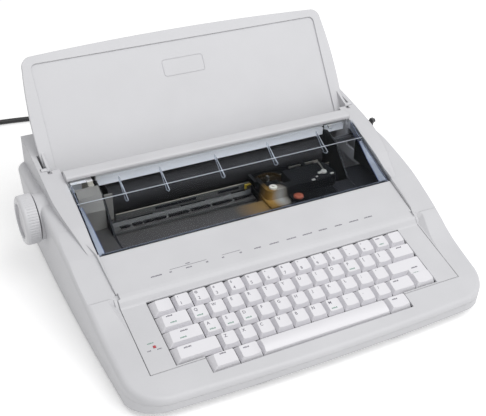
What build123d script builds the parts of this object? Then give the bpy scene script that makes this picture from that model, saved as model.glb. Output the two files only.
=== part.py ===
from build123d import *
import math
import os

# Electronic daisy wheel typewriter with its paper support raised, in millimetres.
# Working frame: X = 0 on the mid-plane, Y = 0 at the back edge of the number row and
# growing to the rear, Z = 0 on the table. The whole model is moved at the end so that
# the origin is the centre of its footprint.

# Keyboard
key_pitch = 19.05
deck_angle = 14.0
deck_z = 51.0                  # key gap plane at the back edge of the number row
keys_left = -145.4             # left edge of the key block
key_gap = 0.7
key_height = 5.6               # top of a cap above the gap plane
key_skirt = 1.6                # skirt below the gap plane
key_travel = 3.5

# Case
wall = 2.8
base_z = 3.5                   # underside of the case, above its feet
parting_z = 19.5
case_draft = 3.7               # side walls lean outwards going up
panel_half = 172.0
window_half = 173.7
lid_bay_half = 190.5
rail_half = 196.0
window_front = 57.6
bar_front = 150.5
bar_rear = 165.0
lid_bay_front = 176.0
rear_deck_front = 204.0
case_rear = 246.0

# Printing mechanism
platen_y = 155.0
platen_z = 76.0
platen_r = 17.0
platen_half = 131.0
frame_half = 141.0             # inner faces of the two side frames
knob_inner_x = -210.6
knob_outer_x = -226.0
knob_r = 26.7
boss_r = 24.6
feed_roller_r = 6.0
gear_module = 1.0
platen_teeth = 60
pinion_teeth = 12
rod_y = 92.0
rod_z = 34.0
rail_y = 117.0
rail_z = 55.0
carriage_x = 72.0              # carriage as it stands in the window
wheel_x = 52.0
wheel_y = 132.5
wheel_z = 45.0
wheel_r = 31.0
rack_pitch = 2.54
rack_pinion_teeth = 24

# Lid and window
lid_angle = 56.5
lid_foot = (189.4, 112.7)      # a point of the lid's inner face in side view
lid_reach = 124.0              # from that point to the lid's top edge
lid_pivot = (179.0, 115.0)      # pins of the paper support, in open sockets
lid_half = 189.0
cover_pivot = (142.0, 104.5)

# Cord
cord_d = 7.0
cord_exit = (40.0, case_rear, 30.0)

nodes = {}
cord_nodes = ["strain_relief", "mains_cord", "cord_coil", "mains_plug"]


def add(name, *solids):
    """Keep one node under its name, as one solid or a group of solids."""
    parts = []
    for item in solids:
        parts += item.solids()
    nodes[name] = Compound(label=name, children=parts) if len(parts) > 1 else parts[0]


def side_prism(points, x0, x1):
    """Side-view outline (y, z) drawn out along X."""
    face = Plane.YZ.offset(x0) * make_face(Polyline(*points, close=True))
    return extrude(face, x1 - x0)


def block(x0, x1, y0, y1, z0, z1):
    return Pos((x0 + x1) / 2, (y0 + y1) / 2, (z0 + z1) / 2) * Box(x1 - x0, y1 - y0, z1 - z0)


def rod_x(x0, x1, y, z, r):
    """Round bar along X."""
    return Pos((x0 + x1) / 2, y, z) * Rot(0, 90, 0) * Cylinder(r, x1 - x0)


def rod_y_axis(x, y0, y1, z, r):
    """Round bar along Y."""
    return Pos(x, (y0 + y1) / 2, z) * Rot(90, 0, 0) * Cylinder(r, y1 - y0)


def rod_z_axis(x, y, z0, z1, r):
    """Round bar along Z."""
    return Pos(x, y, (z0 + z1) / 2) * Cylinder(r, z1 - z0)


def mirror_x(shape):
    return mirror(shape, Plane.YZ)


def deck(y, lift=0.0):
    """Height of the keyboard plane at y."""
    return deck_z + lift + y * math.tan(math.radians(deck_angle))


# Keyboard plane: local x runs right, local y runs up the slope, local z is its normal
key_plane = Plane(
    origin=(keys_left, 0, deck_z),
    x_dir=(1, 0, 0),
    z_dir=(0, -math.sin(math.radians(deck_angle)), math.cos(math.radians(deck_angle))),
)


def on_keys(x0, x1, y0, y1, n0, n1):
    """Block in keyboard coordinates: across, up the slope, along the normal."""
    local = Pos((x0 + x1) / 2, (y0 + y1) / 2, (n0 + n1) / 2) * Box(x1 - x0, y1 - y0, n1 - n0)
    return key_plane.location * local


# Case outline, seen from above, and its crest, seen from the side
def case_plan(z, inset=0.0):
    """Bowed front, large front corners, small rear corners, all one face at height z."""
    front = ThreePointArc((-162, -104.5), (0, -109), (162, -104.5))
    corner = ThreePointArc((162, -104.5), (187.2, -93.2), (197.5, -68))
    flank = ThreePointArc((197.5, -68), (201.4, 60), (200, 234))
    rear_corner = ThreePointArc((200, 234), (196.5, 242.5), (188, case_rear))
    rear = Line((188, case_rear), (-188, case_rear))
    others = [mirror(edge, Plane.YZ) for edge in (rear_corner, flank, corner)]
    face = make_face([front, corner, flank, rear_corner, rear] + others)
    if inset:
        face = offset(face, -inset)
    return Pos(0, 0, z) * face


def crest_points(drop):
    low = [(-77, 33.1), (-40, 42.3), (-22, 48.2), (-3, 57), (17, 65.8), (38, 74), (58, 81)]
    high = [(73, 85), (88, 88.4), (105, 92), (123, 95), (160, 96.4), (200, 95.6), (260, 93.5)]
    return [(y, z - drop) for y, z in low + high]


def hull(inset=0.0):
    """Solid of the case below its shoulders, with the front sloping as the keyboard does."""
    body = extrude(case_plan(base_z + inset, inset), 110, taper=-case_draft)
    points = crest_points(inset)
    floor = base_z + inset
    first = (-130, deck(-130, 1.2) - inset)
    crest = Spline(*points, tangents=[(1, 0.249), (1, -0.04)])
    outline = make_face([
        Line((-130, floor), first),
        Line(first, points[0]),
        crest,
        Line(points[-1], (points[-1][0], floor)),
        Line((points[-1][0], floor), (-130, floor)),
    ])
    body &= extrude(Plane.YZ.offset(-230) * outline, 460)
    return body & block(-230, 230, -130, case_rear - inset, 0, 200)


def tower(inset=0.0):
    """Raised rear part: two flanking rails and the rear deck, before its openings."""
    side = [(60, 181.6), (75, 185.5), (92, 189.6), (117, 194.2), (140, rail_half)]
    right = [(x - inset, y + (inset if y < 61 else 0)) for y, x in side]
    rear = case_rear - inset
    top = Polyline((-right[0][0], right[0][1]), right[0])
    bow = Spline(*right, tangents=[(0.5, 1), (0, 1)])
    outline = make_face([
        top,
        bow,
        Line(right[-1], (right[-1][0], rear)),
        Line((right[-1][0], rear), (-right[-1][0], rear)),
        Line((-right[-1][0], rear), (-right[-1][0], right[-1][1])),
        mirror(bow, Plane.YZ),
    ])
    body = extrude(Pos(0, 0, 50) * outline, 90)
    rise = [(50, 74.4), (60, 79), (75, 86), (92, 93.6), (117, 102), (137.6, 107.4), (153.5, 111)]
    rise += [(186, 117.4), (215, 122), (250, 126)]
    roof = [(50, 45)] + [(y, z - inset) for y, z in rise] + [(250, 45)]
    return body & side_prism(roof, -230, 230)


panel_profile = [
    (-76.6, deck(-76.6, 1.3)), (-1.2, deck(-1.2, 1.3)), (0.6, 53.4), (3.6, 57.4), (6.6, 59.9),
    (10, 61.4), (14, 62.6), (57.2, 76.9),
]


def side_slope(y, inner_x, inner_z, outer_z):
    """Cross-section of the wedge that dips the shoulder towards the panel's edge."""
    points = [(inner_x, inner_z), (208, outer_z), (208, outer_z + 30), (inner_x, outer_z + 30)]
    return make_face(Polyline(*[(x, y, z) for x, z in points], close=True))


def shoulder_dips(drop=0.0):
    """The two wedges that dip the shoulders towards the panel, lowered by drop."""
    wedge = loft([
        side_slope(8, 172.5 - drop, 60.6 - drop, 61.6 - drop),
        side_slope(57, 175 - drop, 77.5 - drop, 80.8 - drop),
        side_slope(96, 188 - drop, 89.6 - drop, 90.6 - drop),
    ], ruled=True)
    return wedge + mirror_x(wedge)


def keyboard_recess(grow=0.0):
    """Shallow bay round the keyboard with a sloping wall, larger and lower by grow."""
    side = 0.384 * grow
    outline = [(-28.6, -150), (-28.6, 4), (-22, 10.5), (312.8, 10.5), (319.4, 4), (319.4, -150)]
    points = [(u + math.copysign(side, u - 145), v + (side if v > 0 else 0)) for u, v in outline]
    face = key_plane.offset(1.3 - grow) * make_face(Polyline(*points, close=True))
    return extrude(face, 26, taper=-48)


def make_upper_case():
    outer = hull() - block(-230, 230, -130, 260, 0, parting_z)
    shell_edges = [e for e in outer.edges() if e.center().Z > 24 and abs(e.center().X) > 185
                   or (e.center().Z > 21 and e.center().Y < -100)]
    outer = fillet(shell_edges, 5.5)
    outer -= [shoulder_dips(), keyboard_recess()]
    outer += tower() - block(-230, 230, 40, 260, 0, parting_z)
    inner = hull(wall) - shoulder_dips(wall) - keyboard_recess(wall) + tower(wall)
    case = outer - inner
    case += rod_x(knob_inner_x + 1.4, -192, platen_y, platen_z, boss_r) - inner
    # openings from above: panel, space bar row, window, paper slot, bay for the lid's foot
    left, right, row = key_block_rows[-1]
    case -= [
        block(-panel_half - 0.6, panel_half + 0.6, -77.1, window_front, 20, 130),
        on_keys(left * key_pitch - 0.9, right * key_pitch + 0.9, -(row + 1) * key_pitch - 0.9,
                -row * key_pitch, -12, 12),
        block(-window_half, window_half, window_front - 1, lid_bay_front + 1, 40, 140),
        block(-lid_bay_half, lid_bay_half, lid_bay_front, rear_deck_front, 90, 140),
    ]
    # walls that close the window and the lid bay, and ledges for the front panel
    deep = [(y, z - 5.2) for y, z in panel_profile[::-1]]
    shallow = [(y, z - 1.0) for y, z in panel_profile]
    ledge = [(y, z - 2.6) for y, z in panel_profile]
    web = [(60, 62), (60, 77.4), (92, 91.4), (137, 105.8), (176, 113.6), (176, 62)]
    walls = [block(-lid_bay_half, lid_bay_half, rear_deck_front, rear_deck_front + wall, 84, 119)]
    for side in (-1, 1):
        walls += [
            side_prism(web, *sorted((side * window_half, side * (window_half + wall)))),
            side_prism([(174, 84), (174, 113), (206, 118), (206, 84)],
                       *sorted((side * lid_bay_half, side * (lid_bay_half + wall)))),
            block(*sorted((side * window_half, side * (lid_bay_half + wall))), 174.6,
                  lid_bay_front, 84, 112),
            side_prism(shallow + deep, *sorted((side * 172.6, side * 175.8))),
            side_prism(ledge + deep, *sorted((side * 168.4, side * 173.0))),
        ]
    case += walls
    case -= [rod_x(*sorted((side * 172, side * 177)), *cover_pivot, 2.06) for side in (-1, 1)]
    case -= [rod_x(*sorted((side * 189, side * 193.2)), *lid_pivot, 2.56) for side in (-1, 1)]
    case -= [block(*sorted((side * 182.8, side * 187)), 171, lid_bay_front + 0.5, 112.8, 120)
             for side in (-1, 1)]
    # holes: platen shaft, release lever, power switch, cord, cooling slots
    case -= [
        rod_x(-230, -170, platen_y, platen_z, 9.0),
        block(197.6, 203.4, 133, 152, 80, 104),
        block(172, 178, 136, 154, 76, 98),
        block(-160, -140, case_rear - 6, case_rear + 12, 39, 55),
        rod_y_axis(cord_exit[0], case_rear - 8, case_rear + 14, cord_exit[2], 6.0),
    ]
    case -= [block(x, x + 4, case_rear - 6, case_rear + 12, 74, 92) for x in range(-112, 32, 9)]
    posts = []
    for x, y in screw_places:
        post = rod_z_axis(x, y, parting_z + 0.2, 60, 4.2)
        if y > 40:
            post += block(x - 1.2, x + 1.2, y, case_rear - 1, parting_z + 0.2, 60)
        posts.append((post & hull(1.0)) - rod_z_axis(x, y, parting_z - 5, 32, 1.4))
    return case + posts


screw_places = [(-184, -52), (184, -52), (-182, 226), (182, 226)]
foot_places = [(-165, -58), (165, -58), (-165, 218), (165, 218)]


def make_lower_case():
    whole = hull()
    hollow = hull(wall)
    keep = block(-230, 230, -130, 260, base_z - 1, parting_z)
    tray = (whole & keep) - hollow
    # the underside ramps up to the front lip
    tray -= side_prism([(-125, 0), (-125, 13), (-106, 11), (-72, base_z), (-72, 0)], -230, 230)
    ramp = [(-108.5, 10.9), (-106, 11), (-72, base_z), (-70, base_z + wall), (-105, 11 + wall)]
    tray += side_prism(ramp, -192, 192) & whole
    tray -= [rod_z_axis(x, y, 0, base_z + 1.2, foot_r + 0.2) for x, y in foot_places]
    tray += [rod_z_axis(x, y, base_z + 1.2, base_z + 4, 10) for x, y in foot_places]
    tray += [rod_z_axis(x, y, base_z + 1, parting_z, 5.0) for x, y in screw_places]
    tray -= [rod_z_axis(x, y, 0, parting_z + 1, 1.75) for x, y in screw_places]
    tray -= [rod_z_axis(x, y, 0, base_z + 4.2, 3.6) for x, y in screw_places]
    # posts for the mechanism's side frames, the keyboard plate and the main board
    tray += [rod_z_axis(side * frame_foot_x, y, base_z + 1, frame_foot_z, 5)
             for side in (-1, 1) for y in frame_foot_y]
    tray += [block(x - 3, x + 3, 211, 219, base_z + 1, board_z) for x in (-100, 60)]
    return tray - [block(x, x + 9, y, y + 4, 0, 9) for x in range(-104, 116, 16)
                   for y in (60, 74, 88)]


foot_r = 8.0
frame_foot_x = 134.0
frame_foot_y = (77, 195)
frame_foot_z = 12.0
board_z = 14.0


def make_feet_and_screws():
    add("feet", *[rod_z_axis(x, y, 0, base_z + 1.17, foot_r) for x, y in foot_places])
    screws = []
    for x, y in screw_places:
        head = rod_z_axis(x, y, base_z + 2.0, base_z + 4.17, 2.9)
        head -= Pos(x, y, base_z + 2.4) * Box(3.4, 0.7, 1.2)
        screws.append(head + rod_z_axis(x, y, base_z + 4.1, 31, 1.4))
    add("case_screws", *screws)


def make_front_panel():
    under = [(y, z - 2.5) for y, z in panel_profile[::-1]]
    panel = side_prism(panel_profile + under, -panel_half, panel_half)
    gap = 0.9
    for u0, u1, v in key_block_rows:
        panel -= on_keys(u0 * key_pitch - gap, u1 * key_pitch + gap,
                         -(v + 1) * key_pitch - gap, -v * key_pitch + (gap if v else 0.25),
                         -12, 12)
    panel -= on_keys(-13.4, -10.6, -52.2, -49.4, -8, 8)
    # clip notches beside the ridge
    for side in (-1, 1):
        panel -= block(*sorted((side * 169.6, side * 173)), 6.5, 13.0, 50, 70)
    return panel


# Keys: (name, row, left, right) in units of the pitch; rows count from the back
key_block_rows = [(0, 15.25, 0), (0, 15.25, 1), (0, 15.25, 2), (0, 15.25, 3), (1.5, 13.05, 4)]
wide_slope_keys = ("key_code_top", "key_tab", "key_lock", "key_shift_left", "key_code")
single_keys = [
    ("key_code_top", 0, 0, 1.25), ("key_tab", 1, 0, 1.75), ("key_erase", 1, 13.75, 15.25),
    ("key_lock", 2, 0, 2.0), ("key_shift_left", 3, 0, 2.5), ("key_shift_right", 3, 12.5, 14.0),
    ("key_code", 4, 1.5, 3.0), ("key_alt", 4, 3.0, 4.25), ("key_space", 4, 4.25, 11.75),
    ("key_index", 4, 11.75, 13.05),
]
row_keys = [
    ("keys_number_row", 0, 1.25, 14), ("keys_upper_row", 1, 1.75, 12),
    ("keys_home_row", 2, 2.0, 11), ("keys_lower_row", 3, 2.5, 10),
]


top_side = 2.4                 # how far the cap's top stands in from its foot
top_front = 2.2
top_rear = 3.6
top_wide = 5.6                 # the long left slope of the keys at the left edge


def keycap(row, u0, u1, stem=True, top_left=top_side):
    """A cap with sloping sides, a dished top that leans with its row, and its stem."""
    x0 = u0 * key_pitch + key_gap / 2
    x1 = u1 * key_pitch - key_gap / 2
    y0 = -(row + 1) * key_pitch + key_gap / 2
    y1 = -row * key_pitch - key_gap / 2
    foot = Pos((x0 + x1) / 2, (y0 + y1) / 2, -key_skirt) * RectangleRounded(x1 - x0, y1 - y0, 0.8)
    across = (x0 + top_left + x1 - top_side) / 2
    mid = (y0 + top_front + y1 - top_rear) / 2
    head = Pos(across, mid, key_height) * RectangleRounded(
        x1 - x0 - top_left - top_side, y1 - y0 - top_front - top_rear, 1.8)
    cap = loft([foot, head])
    # the front of the top is lower than the back, and the middle is dished
    lean = math.radians(4.0)
    dish_r = 34.0
    if u1 - u0 < 3:
        cut = Pos(across, mid, key_height - 1.1 + dish_r) * Rot(
            math.degrees(lean), 0, 0) * Rot(90, 0, 0) * Cylinder(dish_r, 40)
        if u1 - u0 > 1.4:
            flat = Pos((x0 + x1) / 2, mid, key_height + 9.2) * Rot(math.degrees(lean), 0, 0)
            cut = flat * Box(x1 - x0 + 4, 40, 20)
        cap -= cut
    else:
        crown = Pos((x0 + x1) / 2, mid + 1, key_height - 0.7 - 16) * Rot(0, 90, 0) * Cylinder(
            16, x1 - x0 + 10)
        tall = Pos((x0 + x1) / 2, mid, key_height) * Box(x1 - x0 + 10, 40, 8)
        cap -= tall - crown
    if stem:
        cap += Pos((x0 + x1) / 2, (y0 + y1) / 2, -6.5) * Cylinder(2.2, 11)
    return key_plane.location * cap


def stem_centres():
    centres = [((u0 + u1) / 2, row) for _, row, u0, u1 in single_keys]
    centres += [(start + i + 0.5, row) for _, row, start, count in row_keys for i in range(count)]
    centres.append((14.125, 2))
    return [(u * key_pitch, -(row + 0.5) * key_pitch) for u, row in centres]


def make_keys():
    for name, row, u0, u1 in single_keys:
        left = top_wide if name in wide_slope_keys else top_side
        add(name, keycap(row, u0, u1, top_left=left))
    for name, row, start, count in row_keys:
        add(name, *[keycap(row, start + i, start + i + 1) for i in range(count)])
    # the return key is an L: one long cap on the home row and a leg down to the shift row
    upper = keycap(2, 13.0, 15.25)
    leg = keycap(3, 14.0, 15.25, stem=False)
    middle = (14.0 + 15.25) / 2 * key_pitch
    width = 1.25 * key_pitch - key_gap
    bridge = loft([
        Pos(middle, -3 * key_pitch - 0.7, -key_skirt) * Rectangle(width, 7.6),
        Pos(middle, -3 * key_pitch - 0.7, key_height) * Rectangle(width - 2 * top_side, 7.6),
    ])
    bridge -= Pos(middle, -3 * key_pitch, key_height) * Box(width, 20, 2.4)
    add("key_return", upper + leg + key_plane.location * bridge)


def make_keyboard():
    plate = on_keys(-6, 296, -5 * key_pitch + 4, 4, -7.6, -6.2)
    plate -= [key_plane.location * Pos(x, y, -7) * Cylinder(2.6, 4) for x, y in stem_centres()]
    for u0, u1 in ((-7, 20), (260, 300)):
        plate -= on_keys(u0, u1, -5 * key_pitch, -4 * key_pitch - 2, -9, -4)
    below = on_keys(-20, 310, -120, 40, -80, -7.0)
    plate += [rod_z_axis(x, y, base_z + wall, 60, 3) & below
              for x in (-141, 141) for y in (-56, 0)]
    plate += [key_plane.location * Pos(x, y, -11.75) * Cylinder(2, 8.5)
              for x, y in ((24, -19.05), (270, -19.05), (47, -57.15), (245, -57.15))]
    add("keyboard_plate", plate)
    board = on_keys(10, 280, -4.9 * key_pitch, -2, -17.6, -16.0)
    board -= [on_keys(9, 22, -5 * key_pitch, -4 * key_pitch, -20, -10),
              on_keys(262, 300, -5 * key_pitch, -4 * key_pitch, -20, -10)]
    add("keyboard_board", board)


def make_window():
    """Clear cover: two shallow slopes with a fold, end walls and five guide ribs below."""
    t = 2.2
    top = [(58.2, 77.4), (119.8, 102.3), (144.4, 114.2)]
    under = [(y + 0.6, z - t) for y, z in top[::-1]]
    half = window_half - 0.5
    cover = side_prism(top + under, -half, half)
    for side in (-1, 1):
        wall_points = [(59, 76), (119.8, 100.6), (144.6, 112.6), (145.2, 101.2), (119.8, 92),
                       (64, 69.5), (59, 70.5)]
        cover += side_prism(wall_points, *sorted((side * (half - 2.0), side * half)))
        cover += rod_x(*sorted((side * (half - 0.5), side * (window_half + 2.7))),
                       *cover_pivot, 2.0)
    cover += side_prism([(58.6, 76.4), (60.8, 76.4), (60.8, 71), (58.6, 71)], -half, half)
    rib = [(142, 112), (119.8, 101), (113, 98), (116, 94.2), (120.6, 92.6), (124.5, 95.5),
           (141, 108.4)]
    for x in rib_places:
        cover += side_prism(rib, x - 0.9, x + 0.9)
    # notches in the rear edge, so that the raised cover clears the gear and the frames
    cover -= [
        block(gear_x - 5.5, -frame_half + 1.5, 141, 150, 106, 120),
        block(frame_half - 1.5, frame_half + 3.5, 141, 150, 106, 120),
    ]
    return cover


rib_places = [-119.9, -73.3, -8.0, 57.3, 122.0]


def lid_point(s, n=0.0):
    """Side-view point of the lid: s along it from its foot, n towards its outer face."""
    a = math.radians(lid_angle)
    return (lid_foot[0] + s * math.cos(a) + n * math.sin(a),
            lid_foot[1] + s * math.sin(a) - n * math.cos(a))


def make_lid():
    """Paper support: a shallow tray with a crowned top edge, on two pivot ears."""
    a = math.radians(lid_angle)
    lid_plane = Plane(origin=(0, lid_foot[0], lid_foot[1]), x_dir=(1, 0, 0),
                      z_dir=(0, -math.sin(a), math.cos(a)))
    s0, s1 = -9.0, lid_reach
    crown = 5.0
    corner = 11.0
    outline = make_face([
        Line((-186.5, s0), (186.5, s0)),
        ThreePointArc((186.5, s0), (lid_half, 42), (184.0, s1 - crown - corner)),
        ThreePointArc((184.0, s1 - crown - corner), (181.2, s1 - crown - 3.2),
                      (174.5, s1 - crown + 0.6)),
        ThreePointArc((174.5, s1 - crown + 0.6), (0, s1), (-174.5, s1 - crown + 0.6)),
        ThreePointArc((-174.5, s1 - crown + 0.6), (-181.2, s1 - crown - 3.2),
                      (-184.0, s1 - crown - corner)),
        ThreePointArc((-184.0, s1 - crown - corner), (-lid_half, 42), (-186.5, s0)),
    ])
    lid = extrude(lid_plane * outline, -4.6)
    field = lid_plane * Pos(0, 50, 0) * RectangleRounded(349, 122, 6)
    lid -= extrude(field, -1.6)
    back = lid_plane.offset(-3.2) * Pos(0, 55, 0) * RectangleRounded(358, 116, 8)
    lid -= extrude(back, -3)
    for side in (-1, 1):
        ear = [lid_point(-9, 4), lid_point(16, 4), lid_point(16, 0), (181.4, 118.4), (177.6, 117.9),
               (176.3, 115), (177.8, 111.7)]
        lid += side_prism(ear, *sorted((side * 183.4, side * 186.4)))
        lid += rod_x(*sorted((side * 184.0, side * 192.8)), *lid_pivot, 2.5)
    return lid


def make_chute():
    """Rounded white bar along the rear of the window, with the wall that guides paper down."""
    bar = side_prism([(bar_front, 112.5), (bar_front, 117), (bar_rear, 119.8), (bar_rear, 112.5)],
                     -window_half + 0.3, window_half - 0.3)
    long_edges = [e for e in bar.edges() if e.length > 200 and e.center().Z > 114]
    bar = fillet(long_edges, 3.0)
    bar -= side_prism([(bar_front + 2, 110), (bar_front + 2, 114.3), (bar_rear - 2.2, 116.6),
                       (bar_rear - 2.2, 110)], -window_half + 3, window_half - 3)
    bar += side_prism([(162.6, 114), (165, 114), (165.4, 104), (168.4, 97.6), (166.6, 96.6),
                       (163.2, 103)], -frame_half + 2, frame_half - 2)
    # white wall between the bar and the platen, higher beyond the side frames
    bar += side_prism([(157.2, 116.6), (159, 117), (160.8, 95.4), (159.2, 94.8)],
                      -frame_half + 2, frame_half - 2)
    bar += [side_prism([(157.2, 116.6), (159, 117), (159.6, 108.6), (157.8, 108.6)],
                       *sorted((side * (frame_half - 3), side * (window_half - 3.5))))
            for side in (-1, 1)]
    # end tabs that stand against the walls beside the window
    bar += [block(*sorted((side * 171.2, side * window_half)), 154, 163, 102, 113.5)
            for side in (-1, 1)]
    return bar


def gear(teeth, module, width, bore):
    """Spur gear about Z, with straight-flanked teeth."""
    pitch_r = teeth * module / 2
    body = Cylinder(pitch_r - 1.2 * module, width)
    step = 360 / teeth
    root = pitch_r - 1.35 * module
    tip = pitch_r + 0.95 * module
    tooth = Polyline((root, -0.95 * module), (pitch_r, -0.72 * module), (tip, -0.32 * module),
                     (tip, 0.32 * module), (pitch_r, 0.72 * module), (root, 0.95 * module),
                     close=True)
    blade = extrude(Pos(0, 0, -width / 2) * make_face(tooth), width)
    body += [Rot(0, 0, i * step) * blade for i in range(teeth)]
    return body - Cylinder(bore, width + 2)


def turned_to_x(shape, x, y, z, spin=0.0):
    return Pos(x, y, z) * Rot(0, 90, 0) * Rot(0, 0, spin) * shape


gear_distance = (platen_teeth + pinion_teeth) * gear_module / 2 + 0.25
pinion_angle = math.radians(-60.0)     # from the platen towards the motor, in side view
pinion_y = platen_y + gear_distance * math.cos(pinion_angle)
pinion_z = platen_z + gear_distance * math.sin(pinion_angle)
gear_x = -frame_half - 8.0
roller_y = platen_y - 3.0
roller_z = platen_z - math.sqrt((platen_r + feed_roller_r + 0.4) ** 2 - 9.0)


def make_platen():
    rubber = rod_x(-platen_half, platen_half, platen_y, platen_z, platen_r)
    rubber -= rod_x(-platen_half - 1, platen_half + 1, platen_y, platen_z, 4.0)
    add("platen_roller", rubber)
    add("platen_shaft", rod_x(-knob_reach, frame_half + 5, platen_y, platen_z, 4.0))
    knob = rod_x(knob_outer_x, knob_inner_x, platen_y, platen_z, knob_r)
    rims = [e for e in knob.edges() if e.center().X < knob_outer_x + 1]
    knob = fillet(rims, 3.6)
    knob -= rod_x(knob_outer_x - 1, knob_outer_x + 2.6, platen_y, platen_z, 19.0)
    groove = rod_x(knob_outer_x + 4.6, knob_inner_x + 1, platen_y + knob_r + 0.35, platen_z, 0.75)
    about_axis = Pos(0, platen_y, platen_z)
    knob -= [about_axis * Rot(i * 360 / knob_flutes, 0, 0) * about_axis.inverse() * groove
             for i in range(knob_flutes)]
    knob += rod_x(knob_inner_x - 1, -192, platen_y, platen_z, 7.6)
    add("platen_knob", knob - rod_x(-knob_reach, -190, platen_y, platen_z, 4.0))
    add("platen_gear", turned_to_x(gear(platen_teeth, gear_module, 6, 4.0), gear_x, platen_y,
                                   platen_z))
    # the pinion is turned so that one of its gaps faces a tooth of the platen gear
    pinion = turned_to_x(gear(pinion_teeth, gear_module, 8, 1.4), gear_x, pinion_y, pinion_z,
                         pinion_mesh_angle())
    add("feed_pinion", pinion + rod_x(gear_x - 4, -frame_half + 5, pinion_y, pinion_z, 1.5))


knob_reach = -(knob_outer_x + 3.4)
knob_flutes = 54


def pinion_mesh_angle():
    """Turn of the pinion about its axis that centres one of its gaps on the line of centres."""
    # after the turn onto X, the gear's own +x points to -Z and its +y to +Y
    line = math.degrees(math.atan2(math.cos(pinion_angle), -math.sin(pinion_angle)))
    platen_step = 360 / platen_teeth
    off = (line / platen_step - round(line / platen_step)) * platen_step
    # a tooth of the platen gear stands off degrees from the line; the pinion's gap meets it
    pinion_step = 360 / pinion_teeth
    return line + 180 + pinion_step / 2 + off * platen_teeth / pinion_teeth


def make_feed():
    rollers = rod_x(-frame_half - 4, frame_half + 4, roller_y, roller_z, 2.5)
    rollers += [rod_x(x - 14, x + 14, roller_y, roller_z, feed_roller_r) for x in roller_places]
    add("feed_rollers", rollers)
    # paper pan: a curved sheet under the platen that rises behind it, on tabs at the frames
    pan_r = platen_r + 2.2
    pan = rod_x(-platen_half, platen_half, platen_y, platen_z, pan_r + 1.2)
    pan -= rod_x(-platen_half - 1, platen_half + 1, platen_y, platen_z, pan_r)
    pan &= side_prism([(platen_y - 40, platen_z - 13.5), (platen_y + 40, platen_z - 2),
                       (platen_y + 40, platen_z - 40), (platen_y - 40, platen_z - 40)],
                      -platen_half, platen_half)
    rise = [(platen_y + pan_r - 1.0, platen_z - 7), (platen_y + pan_r + 0.3, platen_z - 7),
            (183.2, 103), (181.8, 103)]
    pan += side_prism(rise, -platen_half, platen_half)
    tab = [(174.5, 71), (175.9, 71), (178.2, 82), (176.8, 82)]
    pan += side_prism(tab, -frame_half, frame_half)
    pan -= [block(x - 15.5, x + 15.5, roller_y - 9, roller_y + 9, roller_z - 9, platen_z)
            for x in roller_places]
    add("paper_pan", pan)


roller_places = [-96, -32, 32, 96]


def make_frame():
    outline = [(70, 12), (70, 66), (98, 67), (128, 98), (150, 104), (172, 96), (190, 70), (204, 40),
               (204, 12)]
    for side, name in ((-1, "side_frame_left"), (1, "side_frame_right")):
        x0, x1 = sorted((side * frame_half, side * (frame_half + 2)))
        plate = side_prism(outline, x0, x1)
        foot = sorted((side * (frame_half - 14), side * (frame_half + 1)))
        plate += [block(*foot, y - 5, y + 5, frame_foot_z, frame_foot_z + 2) for y in frame_foot_y]
        plate -= [
            rod_x(x0 - 1, x1 + 1, platen_y, platen_z, 4.06),
            rod_x(x0 - 1, x1 + 1, roller_y, roller_z, 2.56),
            rod_x(x0 - 1, x1 + 1, rod_y, rod_z, 4.0),
        ]
        if side < 0:
            plate -= rod_x(x0 - 1, x1 + 1, pinion_y, pinion_z, 2.2)
        else:
            plate -= rod_x(x0 - 1, x1 + 1, *lever_pivot, 2.06)
        add(name, plate)
    add("carriage_rod", rod_x(-frame_half - 3, frame_half + 3, rod_y, rod_z, 4.0))
    # the rear rail carries the rack, and a strip below and a deck in front tie the frames
    tie_half = frame_half - 0.03
    rail = block(-tie_half, tie_half, rail_y, rail_y + 3, rail_z - 3, rail_z + 3.4)
    rail += block(-frame_half + 4, frame_half - 4, rack_root, rail_y + 1, rail_z - 3, rail_z - 1)
    tooth = Pos(0, 0, rail_z - 3) * make_face(Polyline(
        (-0.62, rack_root + 0.1), (-0.22, rack_tip), (0.22, rack_tip), (0.62, rack_root + 0.1),
        close=True))
    tooth = extrude(tooth, 2)
    first = carriage_x + 19 + rack_pitch / 2
    teeth = [Pos(first + i * rack_pitch, 0, 0) * tooth for i in range(-89, 18)]
    floor = block(-tie_half, tie_half, 98.5, 116, 24, 25.5)
    floor += block(-tie_half, tie_half, 98.5, 100, 14, 24.5)
    decks = [block(-tie_half, tie_half, 60, 96.5, 64, 66)]
    decks += [block(*sorted((side * (frame_half + 2.03), side * (window_half - 0.1))), 60, 120,
                    64, 66) for side in (-1, 1)]
    add("frame_ties", rail + teeth, floor, *decks)


rack_tip = rail_y - 6.4
rack_root = rack_tip + 1.9
pinion_rack_r = rack_pinion_teeth * rack_pitch / (2 * math.pi)
rack_pinion_y = rack_tip + 0.45 - pinion_rack_r


lever_pivot = (171.0, 84.0)


def make_release_lever():
    """Paper release: a bar that pivots on the right frame, cranked out through the shoulder."""
    hub = rod_x(frame_half + 2.4, frame_half + 6, *lever_pivot, 6)
    arm = side_prism([(168, 86), (172, 90), (164, 93), (146, 93), (144, 88), (160, 86)],
                     frame_half + 2.6, frame_half + 5.6)
    bridge = block(frame_half + 2.6, 202.4, 143.5, 148.5, 88, 92.6)
    blade = side_prism([(143.5, 88), (148.5, 88), (148, 104), (144.6, 110.4), (139.4, 111),
                        (137.6, 108.4), (141.8, 104)], 198.8, 202.4)
    lever = hub + arm + bridge + blade
    lever += rod_x(frame_half - 2, frame_half + 4, *lever_pivot, 2.0)
    return lever


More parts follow.
